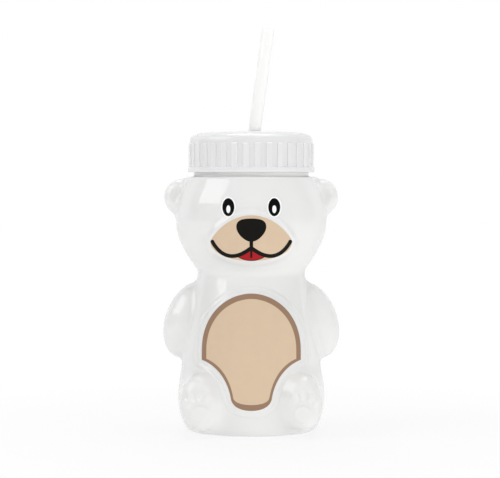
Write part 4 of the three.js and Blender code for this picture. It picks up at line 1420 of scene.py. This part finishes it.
def studio_world(stage):
    """A world that is white to the camera, dim as a light, and a white wall behind in mirror images."""
    world = bpy.data.worlds.new("white_studio")
    world.use_nodes = True
    nodes = Nodes(world.node_tree)
    mirror_image = nodes.ramp(nodes.along_y("Generated"), WALL_START, WALL_FULL, stage.room, 1.0)
    shown = nodes.rays("Camera", "Transmission") * (1.0 - stage.ambient)
    strength = shown + nodes.rays("Glossy") * (mirror_image - stage.ambient) + stage.ambient
    background = nodes.add("ShaderNodeBackground", {}, {"Color": WHITE, "Strength": strength})
    nodes.add("ShaderNodeOutputWorld", {}, {"Surface": background})
    return world


def aimed(name, data, place, target):
    """A lamp or a camera of the scene that looks from a place at a target."""
    made = bpy.data.objects.new(name, data)
    made.location = place
    made.rotation_euler = (Vector(target) - Vector(place)).to_track_quat("-Z", "Y").to_euler()
    bpy.context.scene.collection.objects.link(made)
    return made


def softbox(name, place, size, watts):
    """A rectangular lamp that is aimed at the bottle."""
    lamp = bpy.data.lights.new(name, "AREA")
    lamp.shape = "RECTANGLE"
    lamp.size, lamp.size_y = size
    lamp.energy = watts
    return aimed(name, lamp, place, LAMP_AIM)


def studio_camera(stage):
    """A camera level with the bear's forehead that shows a set width at the bottle's axis."""
    lens = bpy.data.cameras.new("camera")
    lens.lens = lens.sensor_width * stage.camera_distance / stage.picture_width
    place = (stage.camera_side, -stage.camera_distance, stage.camera_height)
    return aimed("camera", lens, place, (stage.camera_side, 0, stage.aim_height))


# Operators


class BearOperator:
    """What the operators share: the settings of the scene."""

    bl_options = {"REGISTER", "UNDO"}

    @staticmethod
    def settings(context):
        return context.scene.bear_bottle


class MESH_OT_bear_shell(BearOperator, Operator):
    """Build the moulded shell of the bear"""

    bl_idname = "mesh.bear_shell"
    bl_label = "Bear Shell"

    def execute(self, context):
        settings = self.settings(context)
        white = settings.colours.shell
        plastic = moulded_plastic("shell_white", white, roughness=0.05, grain=0.04, milkiness=0.3, seam=0.8)
        made = bear_shell(settings)
        finish_piece(made, "bear_shell", "bottle", ["bottle_shell"], plastic)
        return {"FINISHED"}


class MESH_OT_bear_lid(BearOperator, Operator):
    """Build the ribbed screw lid"""

    bl_idname = "mesh.bear_lid"
    bl_label = "Ribbed Lid"

    def execute(self, context):
        settings = self.settings(context)
        white = settings.colours.lid
        plastic = moulded_plastic("lid_white", white, roughness=0.14, grain=0.08, milkiness=0.3)
        made = ribbed_lid(settings.lid)
        finish_piece(made, "ribbed_lid", "lid", ["screw_lid"], plastic)
        keep_faces_flat(made)
        return {"FINISHED"}


class MESH_OT_bear_seal(BearOperator, Operator):
    """Build the soft seal between rim and lid"""

    bl_idname = "mesh.bear_seal"
    bl_label = "Seal Ring"

    def execute(self, context):
        settings = self.settings(context)
        rubber = silicone("seal_silicone", settings.colours.seal)
        made = seal_ring(settings.lid)
        finish_piece(made, "seal_ring", "gasket", ["lid_gasket"], rubber)
        keep_faces_flat(made)
        return {"FINISHED"}


class MESH_OT_bear_straw(BearOperator, Operator):
    """Build the leaning straw"""

    bl_idname = "mesh.bear_straw"
    bl_label = "Drinking Straw"

    def execute(self, context):
        settings = self.settings(context)
        white = settings.colours.straw
        plastic = moulded_plastic("straw_white", white, roughness=0.16, grain=0.05, milkiness=0.1)
        made = leaning_straw(settings.straw)
        finish_piece(made, "drinking_straw", "straw", ["straw"], plastic)
        keep_faces_flat(made)
        return {"FINISHED"}


class MESH_OT_bear_belly_print(BearOperator, Operator):
    """Print the belly panel and its border on the shell"""

    bl_idname = "mesh.bear_belly_print"
    bl_label = "Belly Print"

    def execute(self, context):
        settings = self.settings(context)
        belly, colours, film = settings.belly, settings.colours, settings.print.film
        brown = ink("brown_ink", colours.brown)
        tan = ink("belly_tan_ink", colours.tan)
        whole = belly_outline(belly)
        inner = belly_outline(
            belly, belly.border_top, belly.border_side, belly.border_hip, belly.border_bottom
        )
        for name, slot, finish, layer, outline in (
            ("belly_border", "brown_print", brown, LOWER_LAYER, whole),
            ("belly_panel", "tan_print", tan, UPPER_LAYER, inner),
        ):
            print_on_shell(name, f"{name}_print", finish, film, layer, [outline])
        return {"FINISHED"}


class MESH_OT_bear_face_print(BearOperator, Operator):
    """Print the muzzle, nose, mouth and tongue on the shell"""

    bl_idname = "mesh.bear_face_print"
    bl_label = "Face Print"

    def execute(self, context):
        settings = self.settings(context)
        face, colours, film = settings.face, settings.colours, settings.print.film
        tan = ink("muzzle_tan_ink", colours.tan)
        black = ink("black_ink", colours.black)
        red = ink("red_ink", colours.red)
        patch, nose, tongue = muzzle_outline(face), nose_outline(face), tongue_outline(face)
        mouth = mouth_outlines(face)
        for name, node, slot, finish, layer, outlines, cut in (
            ("muzzle_patch", "muzzle_print", "tan_print", tan, LOWER_LAYER, [patch], []),
            ("nose", "nose_print", "black_print", black, UPPER_LAYER, [nose], []),
            ("mouth_lines", "mouth_print", "black_print", black, UPPER_LAYER, mouth, [nose]),
            ("tongue", "tongue_print", "red_print", red, UPPER_LAYER, [tongue], mouth),
        ):
            print_on_shell(name, node, finish, film, layer, outlines, cut)
        return {"FINISHED"}


class MESH_OT_bear_eye_prints(BearOperator, Operator):
    """Print both eyes on the shell"""

    bl_idname = "mesh.bear_eye_prints"
    bl_label = "Eye Prints"

    def execute(self, context):
        settings = self.settings(context)
        face, colours, film = settings.face, settings.colours, settings.print.film
        white = ink("eye_white_ink", colours.white)
        black = ink("eye_black_ink", colours.eye_black)
        half = (EYE_HIGH - EYE_LOW) / 2
        middle = (EYE_HIGH + EYE_LOW) / 2
        margin = face.eye_white_margin
        glint_z = middle.z - face.glint_drop
        for eye, side in (("left_eye", 1), ("right_eye", -1)):
            x = side * middle.x
            ground = oval(x, middle.z, half.x + margin, half.z + margin)
            pupil = oval(x, middle.z, half.x, half.z)
            glint = oval(x, glint_z, face.glint_half_width, face.glint_half_height)
            for name, slot, finish, layer, outline, cut in (
                (f"{eye}_white", "white_print", white, LOWER_LAYER, ground, []),
                (f"{eye}_black", "black_print", black, UPPER_LAYER, pupil, [glint]),
            ):
                print_on_shell(name, f"{name}_print", finish, film, layer, [outline], cut)
        return {"FINISHED"}


class SCENE_OT_bear_stage(BearOperator, Operator):
    """Set up the floor, the studio light and the camera"""

    bl_idname = "scene.bear_stage"
    bl_label = "Studio Stage"

    def execute(self, context):
        settings = self.settings(context)
        stage, scene = settings.stage, context.scene
        studio_floor(stage, settings.colours.floor)
        scene.world = studio_world(stage)
        for name, (place, size, power_setting, mirrored_in) in LAMPS.items():
            lamp = softbox(name, place, size, getattr(stage, power_setting))
            lamp.visible_glossy = mirrored_in
        scene.camera = studio_camera(stage)
        scene.view_settings.view_transform = "Standard"
        return {"FINISHED"}


OPERATORS = (
    MESH_OT_bear_shell,
    MESH_OT_bear_lid,
    MESH_OT_bear_seal,
    MESH_OT_bear_straw,
    MESH_OT_bear_belly_print,
    MESH_OT_bear_face_print,
    MESH_OT_bear_eye_prints,
    SCENE_OT_bear_stage,
)


class VIEW3D_PT_bear_bottle(Panel):
    """Lists the steps that build the bottle and the sizes that they use"""

    bl_label = "Bear Bottle"
    bl_space_type = "VIEW_3D"
    bl_region_type = "UI"
    bl_category = "Bear Bottle"

    def draw(self, context):
        layout = self.layout
        for operator in OPERATORS:
            layout.operator(operator.bl_idname)
        settings = context.scene.bear_bottle
        for name, group in GROUPS.items():
            box = layout.box()
            box.label(text=name.capitalize())
            for setting in group.__annotations__:
                box.prop(getattr(settings, name), setting)


CLASSES = (*GROUPS.values(), BearBottleSettings, *OPERATORS, VIEW3D_PT_bear_bottle)


def register():
    for cls in CLASSES:
        bpy.utils.register_class(cls)
    bpy.types.Scene.bear_bottle = PointerProperty(type=BearBottleSettings)


def unregister():
    del bpy.types.Scene.bear_bottle
    for cls in reversed(CLASSES):
        bpy.utils.unregister_class(cls)


def main():
    register()
    bpy.ops.mesh.bear_shell()
    bpy.ops.mesh.bear_lid()
    bpy.ops.mesh.bear_seal()
    bpy.ops.mesh.bear_straw()
    bpy.ops.mesh.bear_belly_print()
    bpy.ops.mesh.bear_face_print()
    bpy.ops.mesh.bear_eye_prints()
    bpy.ops.scene.bear_stage()


if __name__ == "__main__":
    main()
